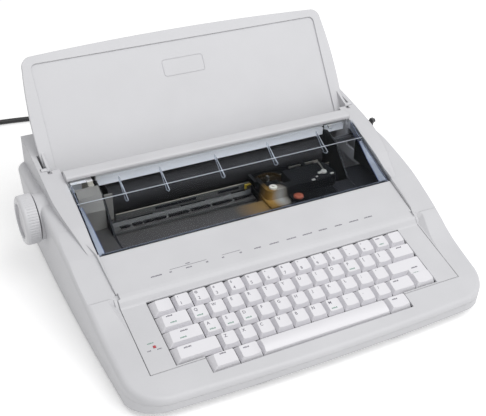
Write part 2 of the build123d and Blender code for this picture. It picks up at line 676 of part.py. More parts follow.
def make_carriage():
    c = carriage_x
    left, right = c - 42, c + 42
    motor_x = c + 19
    # sled: two bearing blocks on the guide rod, an upright plate, arms and small shelves
    sled = block(left, right, 97.5, 100, 26, 69)
    sled -= block(c + 8, c + 30, 96, 102, 39.4, 57)
    sled -= rod_y_axis(wheel_x, 95, 102, wheel_z, 12.2)
    sled += [
        block(left, right, 84, 99, 26, 29.2),
        block(left, left + 8, 84, 99, 26, 44),
        block(right - 8, right, 84, 99, 26, 44),
        block(left, right, 74, 98.5, 67, 69),
        block(left, left + 2.5, 98.5, 126, 60, 69),
        block(right - 2.5, right, 98.5, 126, 60, 69),
        block(left, left + 2.5, 98.5, 110, 49, 61),
        block(right - 2.5, right, 98.5, 110, 49, 61),
        block(c + 6, c + 32, 99, 109.5, 36.9, 39.4),
        block(wheel_x - 6, wheel_x + 6, 99, 119, 61.4, 63.5),
        block(left + 1, left + 13, 99, 120, 58.9, 59.9),
        block(right - 13, right - 1, 99, 120, 58.9, 59.9),
        block(left + 1, left + 2.5, 99, 120, 58.9, 60.5),
        block(right - 2.5, right - 1, 99, 120, 58.9, 60.5),
        rod_z_axis(c - spool_offset, 112, 59.5, 68.4, 1.5),
        rod_z_axis(c + spool_offset, 112, 59.5, 68.4, 1.5),
    ]
    sled -= [rod_x(c + side * 38 - 6, c + side * 38 + 6, rod_y, rod_z, 4.05) for side in (-1, 1)]
    add("carriage_sled", sled)
    add("wheel_motor", rod_y_axis(wheel_x, 100.2, 109.5, wheel_z, 16)
        + rod_y_axis(wheel_x, 98.5, 101, wheel_z, 11.5)
        - rod_y_axis(wheel_x, 95, 125, wheel_z, 2.56))
    hub = rod_y_axis(wheel_x, 122.2, wheel_y + 3.4, wheel_z, 7)
    hub += rod_y_axis(wheel_x, 99.5, 122.3, wheel_z, 2.5)
    hub -= rod_y_axis(wheel_x, wheel_y - 0.6, wheel_y + 4, wheel_z, 7.1)
    add("wheel_hub", hub + rod_y_axis(wheel_x, wheel_y - 1, wheel_y + 3.4, wheel_z, 3.0))
    disc = rod_y_axis(wheel_x, wheel_y - 0.6, wheel_y + 0.6, wheel_z, 12.5)
    petal = block(wheel_x - 0.45, wheel_x + 0.45, wheel_y - 0.35, wheel_y + 0.35, wheel_z + 11,
                  wheel_z + wheel_r - 2)
    petal += block(wheel_x - 0.8, wheel_x + 0.8, wheel_y - 0.35, wheel_y + 0.9,
                   wheel_z + wheel_r - 3.2, wheel_z + wheel_r)
    about_hub = Pos(wheel_x, wheel_y, wheel_z)
    disc += [about_hub * Rot(0, i * 360 / petal_count, 0) * about_hub.inverse() * petal
             for i in range(petal_count)]
    add("daisy_wheel", disc - rod_y_axis(wheel_x, wheel_y - 2, wheel_y + 2, wheel_z, 3.0))
    solenoid = block(wheel_x - 8, wheel_x + 8, 102, 119, 63.5, 73.5)
    add("hammer_solenoid", solenoid - rod_y_axis(wheel_x, 100, 121, hammer_z, 2.06))
    hammer = rod_y_axis(wheel_x, 100.6, 126.6, hammer_z, 2.0)
    hammer += block(wheel_x - 1.2, wheel_x + 1.2, 124, 129.6, hammer_z - 2, platen_z - 0.4)
    add("print_hammer", hammer)
    motor = rod_z_axis(motor_x, rack_pinion_y, 39.4, 49.2, 8.6)
    motor -= rod_z_axis(motor_x, rack_pinion_y, 45, 51, 1.26)
    add("carriage_motor", motor)
    driver = gear(rack_pinion_teeth, rack_pitch / math.pi, 2.2, 1.1)
    driver = Pos(motor_x, rack_pinion_y, rail_z - 2) * driver
    add("carriage_pinion", driver + rod_z_axis(motor_x, rack_pinion_y, 45.5, rail_z - 0.9, 1.2))
    cassette = block(c - 40, c + 50, 88, 122, 69, 81)
    cassette = fillet(cassette.edges().filter_by(Axis.Z), 7)
    cassette -= block(wheel_x - 15, wheel_x + 15, 99, 124, 60, 95)
    cassette += [block(c - 42, c - 38, 116, 134, 72, 79), block(c + 26, c + 30, 116, 134, 72, 79)]
    tongue = block(c - 14, c + 3, 74.2, 90, 69, 71)
    cassette += tongue - rod_z_axis(*winder_place, 69.8, 75, 5.9)
    ribbon = block(c - 42, c + 30, 134, 134.3, 72, 79)
    add("ribbon_cassette", cassette + ribbon)
    x, y = winder_place
    add("ribbon_knob", rod_z_axis(x, y, 70, 72.4, 5.5)
        + block(x - 3.5, x + 3.5, y - 0.9, y + 0.9, 72.3, 73.4))
    for side, name in ((-1, "tape_spool_left"), (1, "tape_spool_right")):
        x = c + side * spool_offset
        spool = rod_z_axis(x, 112, 60.2, 68.0, 3.6)
        spool += [rod_z_axis(x, 112, 60.2, 61.0, 4.8), rod_z_axis(x, 112, 67.2, 68.0, 4.8)]
        add(name, spool - rod_z_axis(x, 112, 60, 72, 1.56))
    # clear card holder that steadies the paper in front of the platen
    card = side_prism([(134.8, 63.5), (135.6, 63.5), (136.0, 72.5), (135.2, 72.5)],
                      wheel_x - 30, wheel_x + 30)
    card -= block(wheel_x - 6, wheel_x + 6, 130, 140, 68, 75)
    card += [
        block(wheel_x - 30, wheel_x - 26, 122, 135.4, 64, 65.5),
        block(wheel_x + 26, wheel_x + 30, 122, 135.4, 64, 65.5),
        block(wheel_x - 30, left, 122, 126, 62, 65.5),
        block(wheel_x + 26, right - 2.5, 122, 126, 62, 65.5),
    ]
    add("card_holder", card)


spool_offset = 34.0
winder_place = (carriage_x - 5.5, 80.0)
hammer_z = platen_z - 7.5


petal_count = 72
rocker_pivot = (case_rear - 3.0, 47.0)


def make_electrics():
    motor = rod_x(-frame_half, -frame_half + 18, pinion_y, pinion_z, 13)
    add("feed_motor", motor - rod_x(-frame_half - 1, -frame_half + 6, pinion_y, pinion_z, 1.56))
    board = block(-118, 86, 214, 216, board_z, 66)
    board += [block(x, x + 26, 210.5, 214.1, 30, 40) for x in (-100, -60, -20)]
    add("main_board", board)
    floor = base_z + wall
    add("transformer", block(98, 152, 210, 238, floor, 54)
        + block(104, 146, 205.5, 210.2, 18, 46) + block(104, 146, 237.8, 242, 18, 46))
    rear = case_rear
    switch = block(-159.4, -140.6, rear - 20, rear + 0.6, 39.6, 54.4)
    switch -= block(-157.6, -142.4, rear - 6, rear + 2, 41.4, 52.6)
    switch -= rod_x(-159, -141, *rocker_pivot, 1.06)
    add("power_switch_body", switch)
    rocker = side_prism([(rear - 4.2, 43.6), (rear + 1.8, 43.4), (rear - 0.2, 47),
                         (rear + 0.4, 50.5), (rear - 4.2, 50.4)], -157, -143)
    rocker += rod_x(-158.8, -141.2, *rocker_pivot, 1.0)
    add("power_rocker", rocker)
    lamp = on_keys(-13.3, -10.7, -52.1, -49.5, -3.0, 1.6)
    add("status_lamp", lamp + on_keys(-14.6, -9.4, -53.4, -48.2, -3.0, -1.2))


def make_cord():
    """Mains lead: straight out of the rear, down to the table, then a wide bend to the left."""
    x, y, z = cord_exit
    points = [
        (x, y + 34, z), (x - 1, y + 66, z - 4), (x - 5, y + 106, z - 16), (x - 13, y + 152, 10),
        (x - 30, y + 198, cord_d / 2 + 0.1), (x - 60, y + 238, cord_d / 2 + 0.1),
        (x - 103, y + 264, cord_d / 2 + 0.1), (x - 154, y + 276, cord_d / 2 + 0.1),
        (x - 204, y + 285, cord_d / 2 + 0.1), (x - 246, y + 288, cord_d / 2 + 0.1),
        (x - 280, y + 288, cord_d / 2 + 0.1),
    ]
    radii = []
    for before, here, after in zip(points, points[1:], points[2:]):
        first = Vector(*here) - Vector(*before)
        second = Vector(*after) - Vector(*here)
        turn = math.radians(first.get_angle(second))
        radii.append(0.45 * min(first.length, second.length) / math.tan(turn / 2))
    print("cord radii", [round(r) for r in radii])
    path = FilletPolyline(*points, radius=radii)
    section = Plane(origin=path @ 0, z_dir=path % 0) * Circle(cord_d / 2)
    tube = sweep(section, path=path)
    print("cord free length", round(path.length, 1), "volume ratio",
          round(tube.volume / (path.length * math.pi * cord_d ** 2 / 4), 4))
    add("mains_cord", tube)
    # tapered strain relief in the rear wall
    relief = Plane(origin=(x, case_rear + 1.2, z), z_dir=(0, 1, 0)) * Circle(6.4)
    tip = Plane(origin=(x, case_rear + 33.4, z), z_dir=(0, 1, 0)) * Circle(4.4)
    boot = loft([relief, tip])
    boot += rod_y_axis(x, case_rear - 7, case_rear + 1.3, z, 5.6)
    boot += rod_y_axis(x, case_rear - 7, case_rear - 3.6, z, 8)
    add("strain_relief", boot)
    make_coil(points[-1], path.length)


turn_r = 39.0                  # middle of the coil's turns: 11 cord diameters across
turn_pitch = cord_d + 0.6      # from one turn to the next, and from layer to layer
layer_turns = 2.625
coil_start_r = turn_r + turn_pitch * layer_turns / 2


def coil_point(t, cx, cy):
    """Point of the coil t turns from its start: in along the floor, up, and out on top."""
    r = coil_start_r - turn_pitch * min(t, 2 * layer_turns - t)
    climb = min(max((t - layer_turns) * 2 + 0.5, 0), 1)
    z = cord_d / 2 + 0.1 + turn_pitch * (1 - math.cos(math.pi * climb)) / 2
    a = math.pi / 2 + 2 * math.pi * t
    return Vector(cx + r * math.cos(a), cy + r * math.sin(a), z)


def biarc(p0, t0, p1, t1):
    """Two arcs that leave p0 along t0, meet smoothly, and reach p1 along t1."""
    v = p1 - p0
    t = t0 + t1
    k = 2 * (1 - t0.dot(t1))
    if k < 1e-9:
        d = v.dot(v) / (4 * v.dot(t1))
    else:
        d = (-v.dot(t) + math.sqrt(v.dot(t) ** 2 + k * v.dot(v))) / k
    meet = (p0 + p1 + (t0 - t1) * d) * 0.5
    return [arc_from(p0, meet, t0), arc_from(p1, meet, t1 * -1, back=True)]


def arc_from(a, b, tangent, back=False):
    """Arc from a to b that leaves a along the tangent."""
    chord = b - a
    lean = tangent.get_angle(chord)
    side = (tangent - chord.normalized() * tangent.dot(chord.normalized()))
    middle = (a + b) * 0.5
    if lean > 0.01:
        middle += side.normalized() * (chord.length / 2 * math.tan(math.radians(lean) / 2))
    else:
        return Line(b, a) if back else Line(a, b)
    return ThreePointArc(b, middle, a) if back else ThreePointArc(a, middle, b)


def make_coil(start, used):
    """The unseen length wound into a neat round coil: two layers of turns, then the plug."""
    cx = start[0] - 9
    cy = start[1] - coil_start_r
    step = 0.25                # quarter turns
    count = round(2 * layer_turns / step)
    places = [coil_point(i * step, cx, cy) for i in range(count + 1)]
    small = 1e-4
    headings = [(coil_point(i * step + small, cx, cy) - coil_point(i * step - small, cx, cy)
                 ).normalized() for i in range(count + 1)]
    headings[0] = Vector(-1, 0, 0)
    edges = [Line(start, places[0])]
    for i in range(count):
        edges += biarc(places[i], headings[i], places[i + 1], headings[i + 1])
    tail = places[-1] + Vector(headings[-1].X, headings[-1].Y, 0).normalized() * 30
    edges.append(Line(places[-1], tail))
    path = Wire(edges)
    section = Plane(origin=start, z_dir=(-1, 0, 0)) * Circle(cord_d / 2)
    tube = sweep(section, path=path)
    print("coil length", round(path.length, 1), "cord in all", round(path.length + used, 1),
          "volume ratio", round(tube.volume / (path.length * math.pi * cord_d ** 2 / 4), 4))
    samples = [edge @ (i / 12) for edge in edges for i in range(12)]
    least = min((a - b).length for i, a in enumerate(samples) for b in samples[i + 40:])
    print("least gap between turns", round(least - cord_d, 2))
    add("cord_coil", tube)
    make_plug(tail, Vector(headings[-1].X, headings[-1].Y, 0).normalized())


def make_plug(at, heading):
    """Moulded three-pin plug lying on the table beside the coil."""
    frame = Plane(origin=at, x_dir=(heading.Y, -heading.X, 0), z_dir=heading)
    neck = loft([frame * Circle(4.6), frame.offset(16) * Circle(6.6)])
    body = loft([frame.offset(14) * RectangleRounded(20, 15, 4),
                 frame.offset(26) * RectangleRounded(27, 20, 5),
                 frame.offset(40) * RectangleRounded(27, 20, 5)], ruled=True)
    plug = neck + body
    for side in (-1, 1):
        plug += frame.offset(40) * Pos(side * 6.35, 1.5, 8.5) * Box(1.5, 6.4, 17)
    plug += frame.offset(40) * Pos(0, -6, 9.5) * Cylinder(2.4, 19)
    add("mains_plug", plug)


make_keys()
make_keyboard()
add("front_panel", make_front_panel())
add("window_cover", make_window())
add("paper_support", make_lid())
add("chute_bar", make_chute())
make_platen()
make_feed()
make_frame()
add("release_lever", make_release_lever())
make_carriage()
make_electrics()
make_cord()
add("lower_case", make_lower_case())
add("upper_case", make_upper_case())
make_feet_and_screws()

# Move the origin to the centre of the footprint, measured without the cord and what is on it
boxes = [shape.bounding_box() for name, shape in nodes.items() if name not in cord_nodes]
centre_x = (min(b.min.X for b in boxes) + max(b.max.X for b in boxes)) / 2
centre_y = (min(b.min.Y for b in boxes) + max(b.max.Y for b in boxes)) / 2
print("footprint centre", round(centre_x, 3), round(centre_y, 3), "on the table at 0")
os.makedirs("parts", exist_ok=True)
for name, shape in nodes.items():
    export_step(Pos(-centre_x, -centre_y, 0) * shape, f"parts/{name}.step")
print(len(nodes), "nodes")
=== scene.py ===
import math

import bmesh
import bpy
from mathutils import Euler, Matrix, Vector
from mathutils.bvhtree import BVHTree


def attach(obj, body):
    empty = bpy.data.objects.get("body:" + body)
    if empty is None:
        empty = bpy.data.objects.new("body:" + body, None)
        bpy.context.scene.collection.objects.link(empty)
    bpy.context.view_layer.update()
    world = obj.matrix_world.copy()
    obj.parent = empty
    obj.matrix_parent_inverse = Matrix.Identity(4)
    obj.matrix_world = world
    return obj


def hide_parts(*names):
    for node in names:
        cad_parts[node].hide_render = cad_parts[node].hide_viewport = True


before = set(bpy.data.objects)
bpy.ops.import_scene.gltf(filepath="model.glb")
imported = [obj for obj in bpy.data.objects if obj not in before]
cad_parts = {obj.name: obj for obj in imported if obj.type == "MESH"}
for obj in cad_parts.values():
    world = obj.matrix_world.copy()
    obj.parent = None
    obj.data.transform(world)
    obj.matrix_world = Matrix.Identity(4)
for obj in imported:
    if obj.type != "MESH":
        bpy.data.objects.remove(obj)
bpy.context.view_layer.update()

# The camera
# It stands where the photograph was taken: to the left in front, looking down over the keys.
camera_data = bpy.data.cameras.new("view")
camera_data.lens = 65.62
camera_data.sensor_width = 36.0
camera_data.clip_end = 20
camera = bpy.data.objects.new("view", camera_data)
camera.location = (-0.35487, -0.71449, 0.59348)
camera.rotation_euler = Euler([math.radians(a) for a in (57.189, -0.693, -26.269)])
bpy.context.scene.collection.objects.link(camera)
bpy.context.scene.camera = camera


# The mains cord
# A 7 mm round lead in black PVC leaves a moulded boot in the rear wall, drops to the table
# and bends away to the left; the rest is wound into a round coil that ends in its plug.
# Its points, as all sizes below, are millimetres from the machine's mid-plane, the back edge
# of the number row and the table, which is how the machine is drawn.
def mm(x, y, z):
    return Vector(((x + 9.319) / 1000, (y - 75.794) / 1000, z / 1000))


cord_d = 7.0
lying_z = 3.6
lead_points = [
    (40, 280, 30), (39, 312, 26), (35, 352, 14), (27, 398, 10), (10, 444, lying_z),
    (-20, 484, lying_z), (-63, 510, lying_z), (-114, 522, lying_z), (-164, 531, lying_z),
    (-206, 534, lying_z), (-240, 534, lying_z),
]
# the coil winds inwards, climbs on to its own top halfway and winds out again
turn_pitch = cord_d + 0.6
layer_turns = 2.625
coil_mean_r = 39.0
coil_start_r = coil_mean_r + turn_pitch * layer_turns / 2
coil_centre = (-249.0, 534.0 - coil_start_r)
points_a_turn = 16
for i in range(int(2 * layer_turns * points_a_turn) + 1):
    t = i / points_a_turn
    r = coil_start_r - turn_pitch * min(t, 2 * layer_turns - t)
    climb = min(max((t - layer_turns) * 2 + 0.5, 0), 1)
    a = math.pi / 2 + 2 * math.pi * t
    lead_points.append((coil_centre[0] + r * math.cos(a), coil_centre[1] + r * math.sin(a),
                        lying_z + turn_pitch * (1 - math.cos(math.pi * climb)) / 2))
# a straight end that runs into the plug
last = Vector(lead_points[-1])
heading = last - Vector(lead_points[-2])
heading.z = 0
heading.normalize()
lead_points += [tuple(last + heading * 15), tuple(last + heading * 30)]
cord_curve = bpy.data.curves.new("mains_lead", "CURVE")
cord_curve.dimensions = "3D"
cord_curve.bevel_depth = cord_d / 2000
cord_curve.bevel_resolution = 5
cord_curve.resolution_u = 4
cord_curve.use_fill_caps = True
spline = cord_curve.splines.new("NURBS")
spline.points.add(len(lead_points) - 1)
for point, place in zip(spline.points, lead_points):
    point.co = (*mm(*place), 1.0)
spline.order_u = 3
spline.use_endpoint_u = True
cord = bpy.data.objects.new("mains_lead", cord_curve)
bpy.context.scene.collection.objects.link(cord)


def linear(code):
    """An sRGB hex colour as the linear values that Blender's sockets take."""
    out = []
    for i in (1, 3, 5):
        v = int(code[i:i + 2], 16) / 255
        out.append(v / 12.92 if v <= 0.04045 else ((v + 0.055) / 1.055) ** 2.4)
    return (*out, 1.0)


def node(tree, kind, settings=None, inputs=None):
    """Adds one node: settings are its properties, inputs are values or other nodes' sockets."""
    n = tree.nodes.new(kind)
    for key, value in (settings or {}).items():
        setattr(n, key, value)
    for key, value in (inputs or {}).items():
        if isinstance(value, bpy.types.NodeSocket):
            tree.links.new(value, n.inputs[key])
        else:
            n.inputs[key].default_value = value
    return n


def blank(name):
    """A new material with an empty tree."""
    material = bpy.data.materials.new(name)
    material.use_nodes = True
    material.node_tree.nodes.clear()
    return material, material.node_tree


def dress(material, *names):
    """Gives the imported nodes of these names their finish."""
    for name in names:
        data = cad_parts[name].data
        data.materials.clear()
        data.materials.append(material)


# extruded PVC: a slightly waxy sheen over a fine drawn texture, drawn at 0.4 mm so it shows
pvc, tree = blank("extruded_pvc_black")
at = node(tree, "ShaderNodeTexCoord").outputs["Object"]
fine = node(tree, "ShaderNodeTexNoise", None, {"Vector": at, "Scale": 2500.0, "Detail": 2.0})
rough = node(tree, "ShaderNodeMapRange", None, {"Value": fine.outputs[0], "From Min": 0.3,
                                                "From Max": 0.7, "To Min": 0.38, "To Max": 0.5})
bump = node(tree, "ShaderNodeBump", None, {"Height": fine.outputs[0], "Strength": 0.15,
                                           "Distance": 0.0002})
skin = node(tree, "ShaderNodeBsdfPrincipled", None, {
    "Base Color": linear("#1B1B1D"), "Roughness": rough.outputs[0], "IOR": 1.52,
    "Normal": bump.outputs[0]})
node(tree, "ShaderNodeOutputMaterial", None, {"Surface": skin.outputs[0]})
cord_curve.materials.append(pvc)
dress(pvc, "strain_relief", "mains_plug")
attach(cord, "chassis")
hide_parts("mains_cord", "cord_coil")


# The moulded case
# Two injection-moulded ABS halves, a separate front panel and the bar at the rear of the
# window, in a light cool grey with corners rounded by the mould.
def moulded(name, colour, roughness, grain_mm, grain, edge_mm, drift=0.03, shine=0.5):
    """Moulded plastic: spark-eroded grain, gloss and tone that drift, and soft edges."""
    cloud_mm = 60
    material, tree = blank(name)
    at = node(tree, "ShaderNodeTexCoord").outputs["Object"]
    cloudy = node(tree, "ShaderNodeTexNoise", None, {"Vector": at, "Scale": 1000 / cloud_mm,
                                                     "Detail": 2.0, "Roughness": 0.55})
    tone = node(tree, "ShaderNodeMapRange", None, {
        "Value": cloudy.outputs[0], "From Min": 0.3, "From Max": 0.7, "To Min": 1.0 - drift,
        "To Max": 1.0 + drift})
    base = node(tree, "ShaderNodeHueSaturation", None, {"Value": tone.outputs[0],
                                                        "Color": linear(colour)})
    fine = node(tree, "ShaderNodeTexNoise", None, {"Vector": at, "Scale": 1000 / grain_mm,
                                                   "Detail": 3.0, "Roughness": 0.6})
    gloss = node(tree, "ShaderNodeMapRange", None, {
        "Value": cloudy.outputs[0], "From Min": 0.3, "From Max": 0.7,
        "To Min": roughness - 0.04, "To Max": roughness + 0.05})
    rounded = node(tree, "ShaderNodeBevel", {"samples": 4}, {"Radius": edge_mm / 1000})
    bump = node(tree, "ShaderNodeBump", None, {
        "Height": fine.outputs[0], "Strength": grain, "Distance": 0.0003,
        "Normal": rounded.outputs[0]})
    skin = node(tree, "ShaderNodeBsdfPrincipled", None, {
        "Base Color": base.outputs[0], "Roughness": gloss.outputs[0], "IOR": 1.54,
        "Specular IOR Level": shine, "Normal": bump.outputs[0]})
    node(tree, "ShaderNodeOutputMaterial", None, {"Surface": skin.outputs[0]})
    return material


# grained ABS: the matt grain, 0.7 mm here so that it shows, takes the shine off flat faces
case_abs = moulded("grained_abs_light_grey", "#CBCBCE", 0.46, 0.7, 0.25, 1.2)
dress(case_abs, "upper_case", "lower_case", "front_panel", "chute_bar")

# The feet and the case screws
# Four round rubber pads pressed into the base, and slotted steel screws beside them.
# moulded rubber: dry and nearly black, with a coarse matt skin
foot_rubber = moulded("moulded_rubber_black", "#29282A", 0.72, 0.9, 0.35, 0.6)
dress(foot_rubber, "feet")

# The paper support
# The lid over the print wheel, standing open on two pins: off-white ABS with a recessed
# field, and a thin raised frame moulded into that field.
# grained ABS as on the case: matt, and a shade paler
pale_abs = moulded("grained_abs_off_white", "#CDCDD0", 0.44, 0.7, 0.2, 1.0)
dress(pale_abs, "paper_support")
lid_angle = math.radians(56.5)
lid_foot_y, lid_foot_z = 189.4, 112.7
field_depth = 1.6


def on_lid(x, s, lift):
    """A point of the lid: across, up from its foot, and out from its recessed field."""
    n = lift - field_depth
    return mm(x, lid_foot_y + s * math.cos(lid_angle) - n * math.sin(lid_angle),
              lid_foot_z + s * math.sin(lid_angle) + n * math.cos(lid_angle))


bead_tree = bpy.data.node_groups.new("bead_along_lines", "GeometryNodeTree")
bead_tree.interface.new_socket("Lines", in_out="INPUT", socket_type="NodeSocketGeometry")
bead_radius = bead_tree.interface.new_socket("Radius", in_out="INPUT",
                                             socket_type="NodeSocketFloat").identifier
bead_finish = bead_tree.interface.new_socket("Finish", in_out="INPUT",
                                             socket_type="NodeSocketMaterial").identifier
bead_tree.interface.new_socket("Bead", in_out="OUTPUT", socket_type="NodeSocketGeometry")
taken = node(bead_tree, "NodeGroupInput")
path = node(bead_tree, "GeometryNodeMeshToCurve", None, {"Mesh": taken.outputs["Lines"]})
ring = node(bead_tree, "GeometryNodeCurvePrimitiveCircle", None, {
    "Resolution": 8, "Radius": taken.outputs["Radius"]})
swept = node(bead_tree, "GeometryNodeCurveToMesh", None, {
    "Curve": path.outputs[0], "Profile Curve": ring.outputs[0], "Fill Caps": True})
real = node(bead_tree, "GeometryNodeRealizeInstances", None, {0: swept.outputs[0]})
coated = node(bead_tree, "GeometryNodeSetMaterial", None, {
    "Geometry": real.outputs[0], "Material": taken.outputs["Finish"]})
node(bead_tree, "NodeGroupOutput", None, {0: coated.outputs[0]})


def settled(piece, modifier):
    """Turns a piece grown by Geometry Nodes into a plain mesh."""
    bpy.context.view_layer.update()
    whole = piece.evaluated_get(bpy.context.evaluated_depsgraph_get())
    mesh = bpy.data.meshes.new_from_object(whole)
    piece.modifiers.remove(modifier)
    piece.data = mesh


def bead(name, lines, radius_mm, material, body):
    """A thin round bead that follows each line of points; a line that ends at its first
    point is a loop."""
    points, edges = [], []
    for line in lines:
        first = len(points)
        closed = (line[0] - line[-1]).length < 1e-6
        kept = line[:-1] if closed else line
        points += kept
        edges += [(first + i, first + i + 1) for i in range(len(kept) - 1)]
        if closed:
            edges.append((first + len(kept) - 1, first))
    mesh = bpy.data.meshes.new(name)
    mesh.from_pydata(points, edges, [])
    piece = bpy.data.objects.new(name, mesh)
    bpy.context.scene.collection.objects.link(piece)
    grower = piece.modifiers.new("bead", "NODES")
    grower.node_group = bead_tree
    grower[bead_radius] = radius_mm / 1000
    grower[bead_finish] = material
    settled(piece, grower)
    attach(piece, body)


# the raised frame, on the corners' centres, with an arc at each corner
frame_corner_r = 3
frame_loop = []
for corner_x, corner_s, start in ((19, 88, 0), (-25, 88, 90), (-25, 75, 180), (19, 75, 270)):
    for step in range(4):
        a = math.radians(start + step * 30)
        frame_loop.append(on_lid(corner_x + frame_corner_r * math.cos(a),
                                 corner_s + frame_corner_r * math.sin(a), 0.0))
bead("lid_raised_frame", [frame_loop + frame_loop[:1]], 0.5, pale_abs, "paper_table")

# The platen knob
# A hollow moulded knob with a fluted rim, pushed on the platen's shaft outside the case.
# moulded ABS again, handled smooth: a little more gloss than the case
knob_abs = moulded("handled_abs_light_grey", "#CFCFD2", 0.38, 0.6, 0.15, 0.5)
dress(knob_abs, "platen_knob")

# The keycaps
# Off-white caps, moulded with dished tops and a finer grain than the case, each on its stem.
# fine-grained ABS: the satin top of a cap that fingers have touched
key_abs = moulded("keycap_abs_off_white", "#E1E0E4", 0.40, 0.4, 0.12, 0.5, 0.015)
single_keys = ["key_code_top", "key_tab", "key_erase", "key_lock", "key_shift_left",
               "key_shift_right", "key_code", "key_alt", "key_space", "key_index", "key_return"]
row_keys = ["keys_number_row", "keys_upper_row", "keys_home_row", "keys_lower_row"]
dress(key_abs, *single_keys, *row_keys)

# The printing on the keycaps
# Pad-printed grey characters and green second marks, a film on each cap that moves with it.
# The wider keys have short rows of bars.
key_slope = math.radians(14)
up_keys = Vector((0, math.cos(key_slope), math.sin(key_slope)))
out_keys = Vector((0, -math.sin(key_slope), math.cos(key_slope)))
key_pitch = 19.05
keys_left_x = -145.4
key_plane_z = 51


def over_keys(u, v, lift=20.0):
    """A point over the keys: across and to the front in key pitches, and mm above them."""
    corner = mm(keys_left_x + u * key_pitch, 0, key_plane_z)
    return corner + (out_keys * lift - up_keys * v * key_pitch) / 1000


def surface_of(*names):
    """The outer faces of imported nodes, for laying print on."""
    points, faces = [], []
    for name in names:
        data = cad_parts[name].data
        first = len(points)
        points += [v.co.copy() for v in data.vertices]
        faces += [[first + i for i in face.vertices] for face in data.polygons]
    return BVHTree.FromPolygons(points, faces)


def ink(name, colour):
    """Pad-printing ink: a thin satin film whose cover is uneven in 0.7 mm patches."""
    material, tree = blank(name)
    at = node(tree, "ShaderNodeTexCoord").outputs["Object"]
    thin = node(tree, "ShaderNodeTexNoise", None, {"Vector": at, "Scale": 1400.0, "Detail": 2.0})
    tone = node(tree, "ShaderNodeMapRange", None, {
        "Value": thin.outputs[0], "From Min": 0.3, "From Max": 0.7, "To Min": 0.85,
        "To Max": 1.2})
    base = node(tree, "ShaderNodeHueSaturation", None, {"Value": tone.outputs[0],
                                                        "Color": linear(colour)})
    film = node(tree, "ShaderNodeBsdfPrincipled", None, {
        "Base Color": base.outputs[0], "Roughness": 0.42, "IOR": 1.5})
    node(tree, "ShaderNodeOutputMaterial", None, {"Surface": film.outputs[0]})
    return material


grey_ink = ink("pad_printed_ink_grey", "#6A6772")
green_ink = ink("pad_printed_ink_green", "#6E9585")
glyphs = {}


def glyph(character):
    """The flat faces of one plain character, one unit high, centred."""
    if character not in glyphs:
        text = bpy.data.curves.new("glyph", "FONT")
        text.body = character
        text.align_x = "CENTER"
        text.align_y = "CENTER"
        text.resolution_u = 3
        text.offset = 0.012
        holder = bpy.data.objects.new("glyph", text)
        mesh = bpy.data.meshes.new_from_object(holder)
        glyphs[character] = ([tuple(v.co.xy) for v in mesh.vertices],
                             [list(face.vertices) for face in mesh.polygons])
        bpy.data.objects.remove(holder)
        bpy.data.meshes.remove(mesh)
        bpy.data.curves.remove(text)
    return glyphs[character]


def bars(length, height):
    """A short row of upright bars, centred; sizes in mm."""
    points, faces = [], []
    widths = [1.2, 0.8, 1.0, 0.7]
    gap, shortest = 0.35, 0.4
    x, i = -length / 2, 0
    while x < length / 2 - shortest:
        wide = min(widths[i % 4], length / 2 - x)
        tall = height * (1.0 if i % 3 else 0.8)
        first = len(points)
        points += [(x, -height / 2), (x + wide, -height / 2), (x + wide, tall - height / 2),
                   (x, tall - height / 2)]
        faces.append([first, first + 1, first + 2, first + 3])
        x += wide + gap
        i += 1
    return points, faces


print_lift = 0.00006


def printed(name, marks, surface, down, right, forward, body):
    """Lays marks on a surface. A mark is a start point over it, flat points in mm, faces,
    a scale and a finish."""
    mesh = bpy.data.meshes.new(name)
    points, faces, inks = [], [], []
    for start, flat, flat_faces, scale, finish in marks:
        laid = []
        for x, y in flat:
            above = start + (right * x + forward * y) * scale / 1000
            hit = surface.ray_cast(above, down)[0]
            if hit:
                laid.append(hit - down * print_lift)
        if len(laid) == len(flat):
            faces += [[len(points) + i for i in face] for face in flat_faces]
            inks += [finish] * len(flat_faces)
            points += laid
    mesh.from_pydata(points, [], faces)
    mesh.materials.append(grey_ink)
    mesh.materials.append(green_ink)
    for face, finish in zip(mesh.polygons, inks):
        face.material_index = finish
    piece = bpy.data.objects.new(name, mesh)
    bpy.context.scene.collection.objects.link(piece)
    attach(piece, body)


letter_mm = 4.7
small_mm = 3.6
legends = {name: [] for name in single_keys + row_keys}
second_mark_keys = "QASDPM"
# each row's node, its place down the keyboard, its first key's left edge and its characters
rows = [("keys_upper_row", 1, 1.75, "QWERTYUIOP[]"), ("keys_home_row", 2, 2.0, "ASDFGHJKL;'"),
        ("keys_lower_row", 3, 2.5, "ZXCVBNM,./")]
for name, row, start, characters in rows:
    for i, character in enumerate(characters):
        legends[name].append((start + i + 0.34, row + 0.39, glyph(character), letter_mm, 0))
        if character in second_mark_keys:
            legends[name].append((start + i + 0.43, row + 0.74, bars(6.2, 1.5), 1.0, 1))
for i, (symbol, digit) in enumerate(zip("!@#$%^&*()_+", "1234567890-=")):
    legends["keys_number_row"].append((1.25 + i + 0.29, 0.35, glyph(symbol), small_mm, 0))
    legends["keys_number_row"].append((1.25 + i + 0.33, 0.73, glyph(digit), letter_mm, 0))
legends["keys_number_row"] += [(13.66, 0.33, bars(5.0, 1.4), 1.0, 0),
                               (13.72, 0.72, bars(5.5, 1.4), 1.0, 1)]
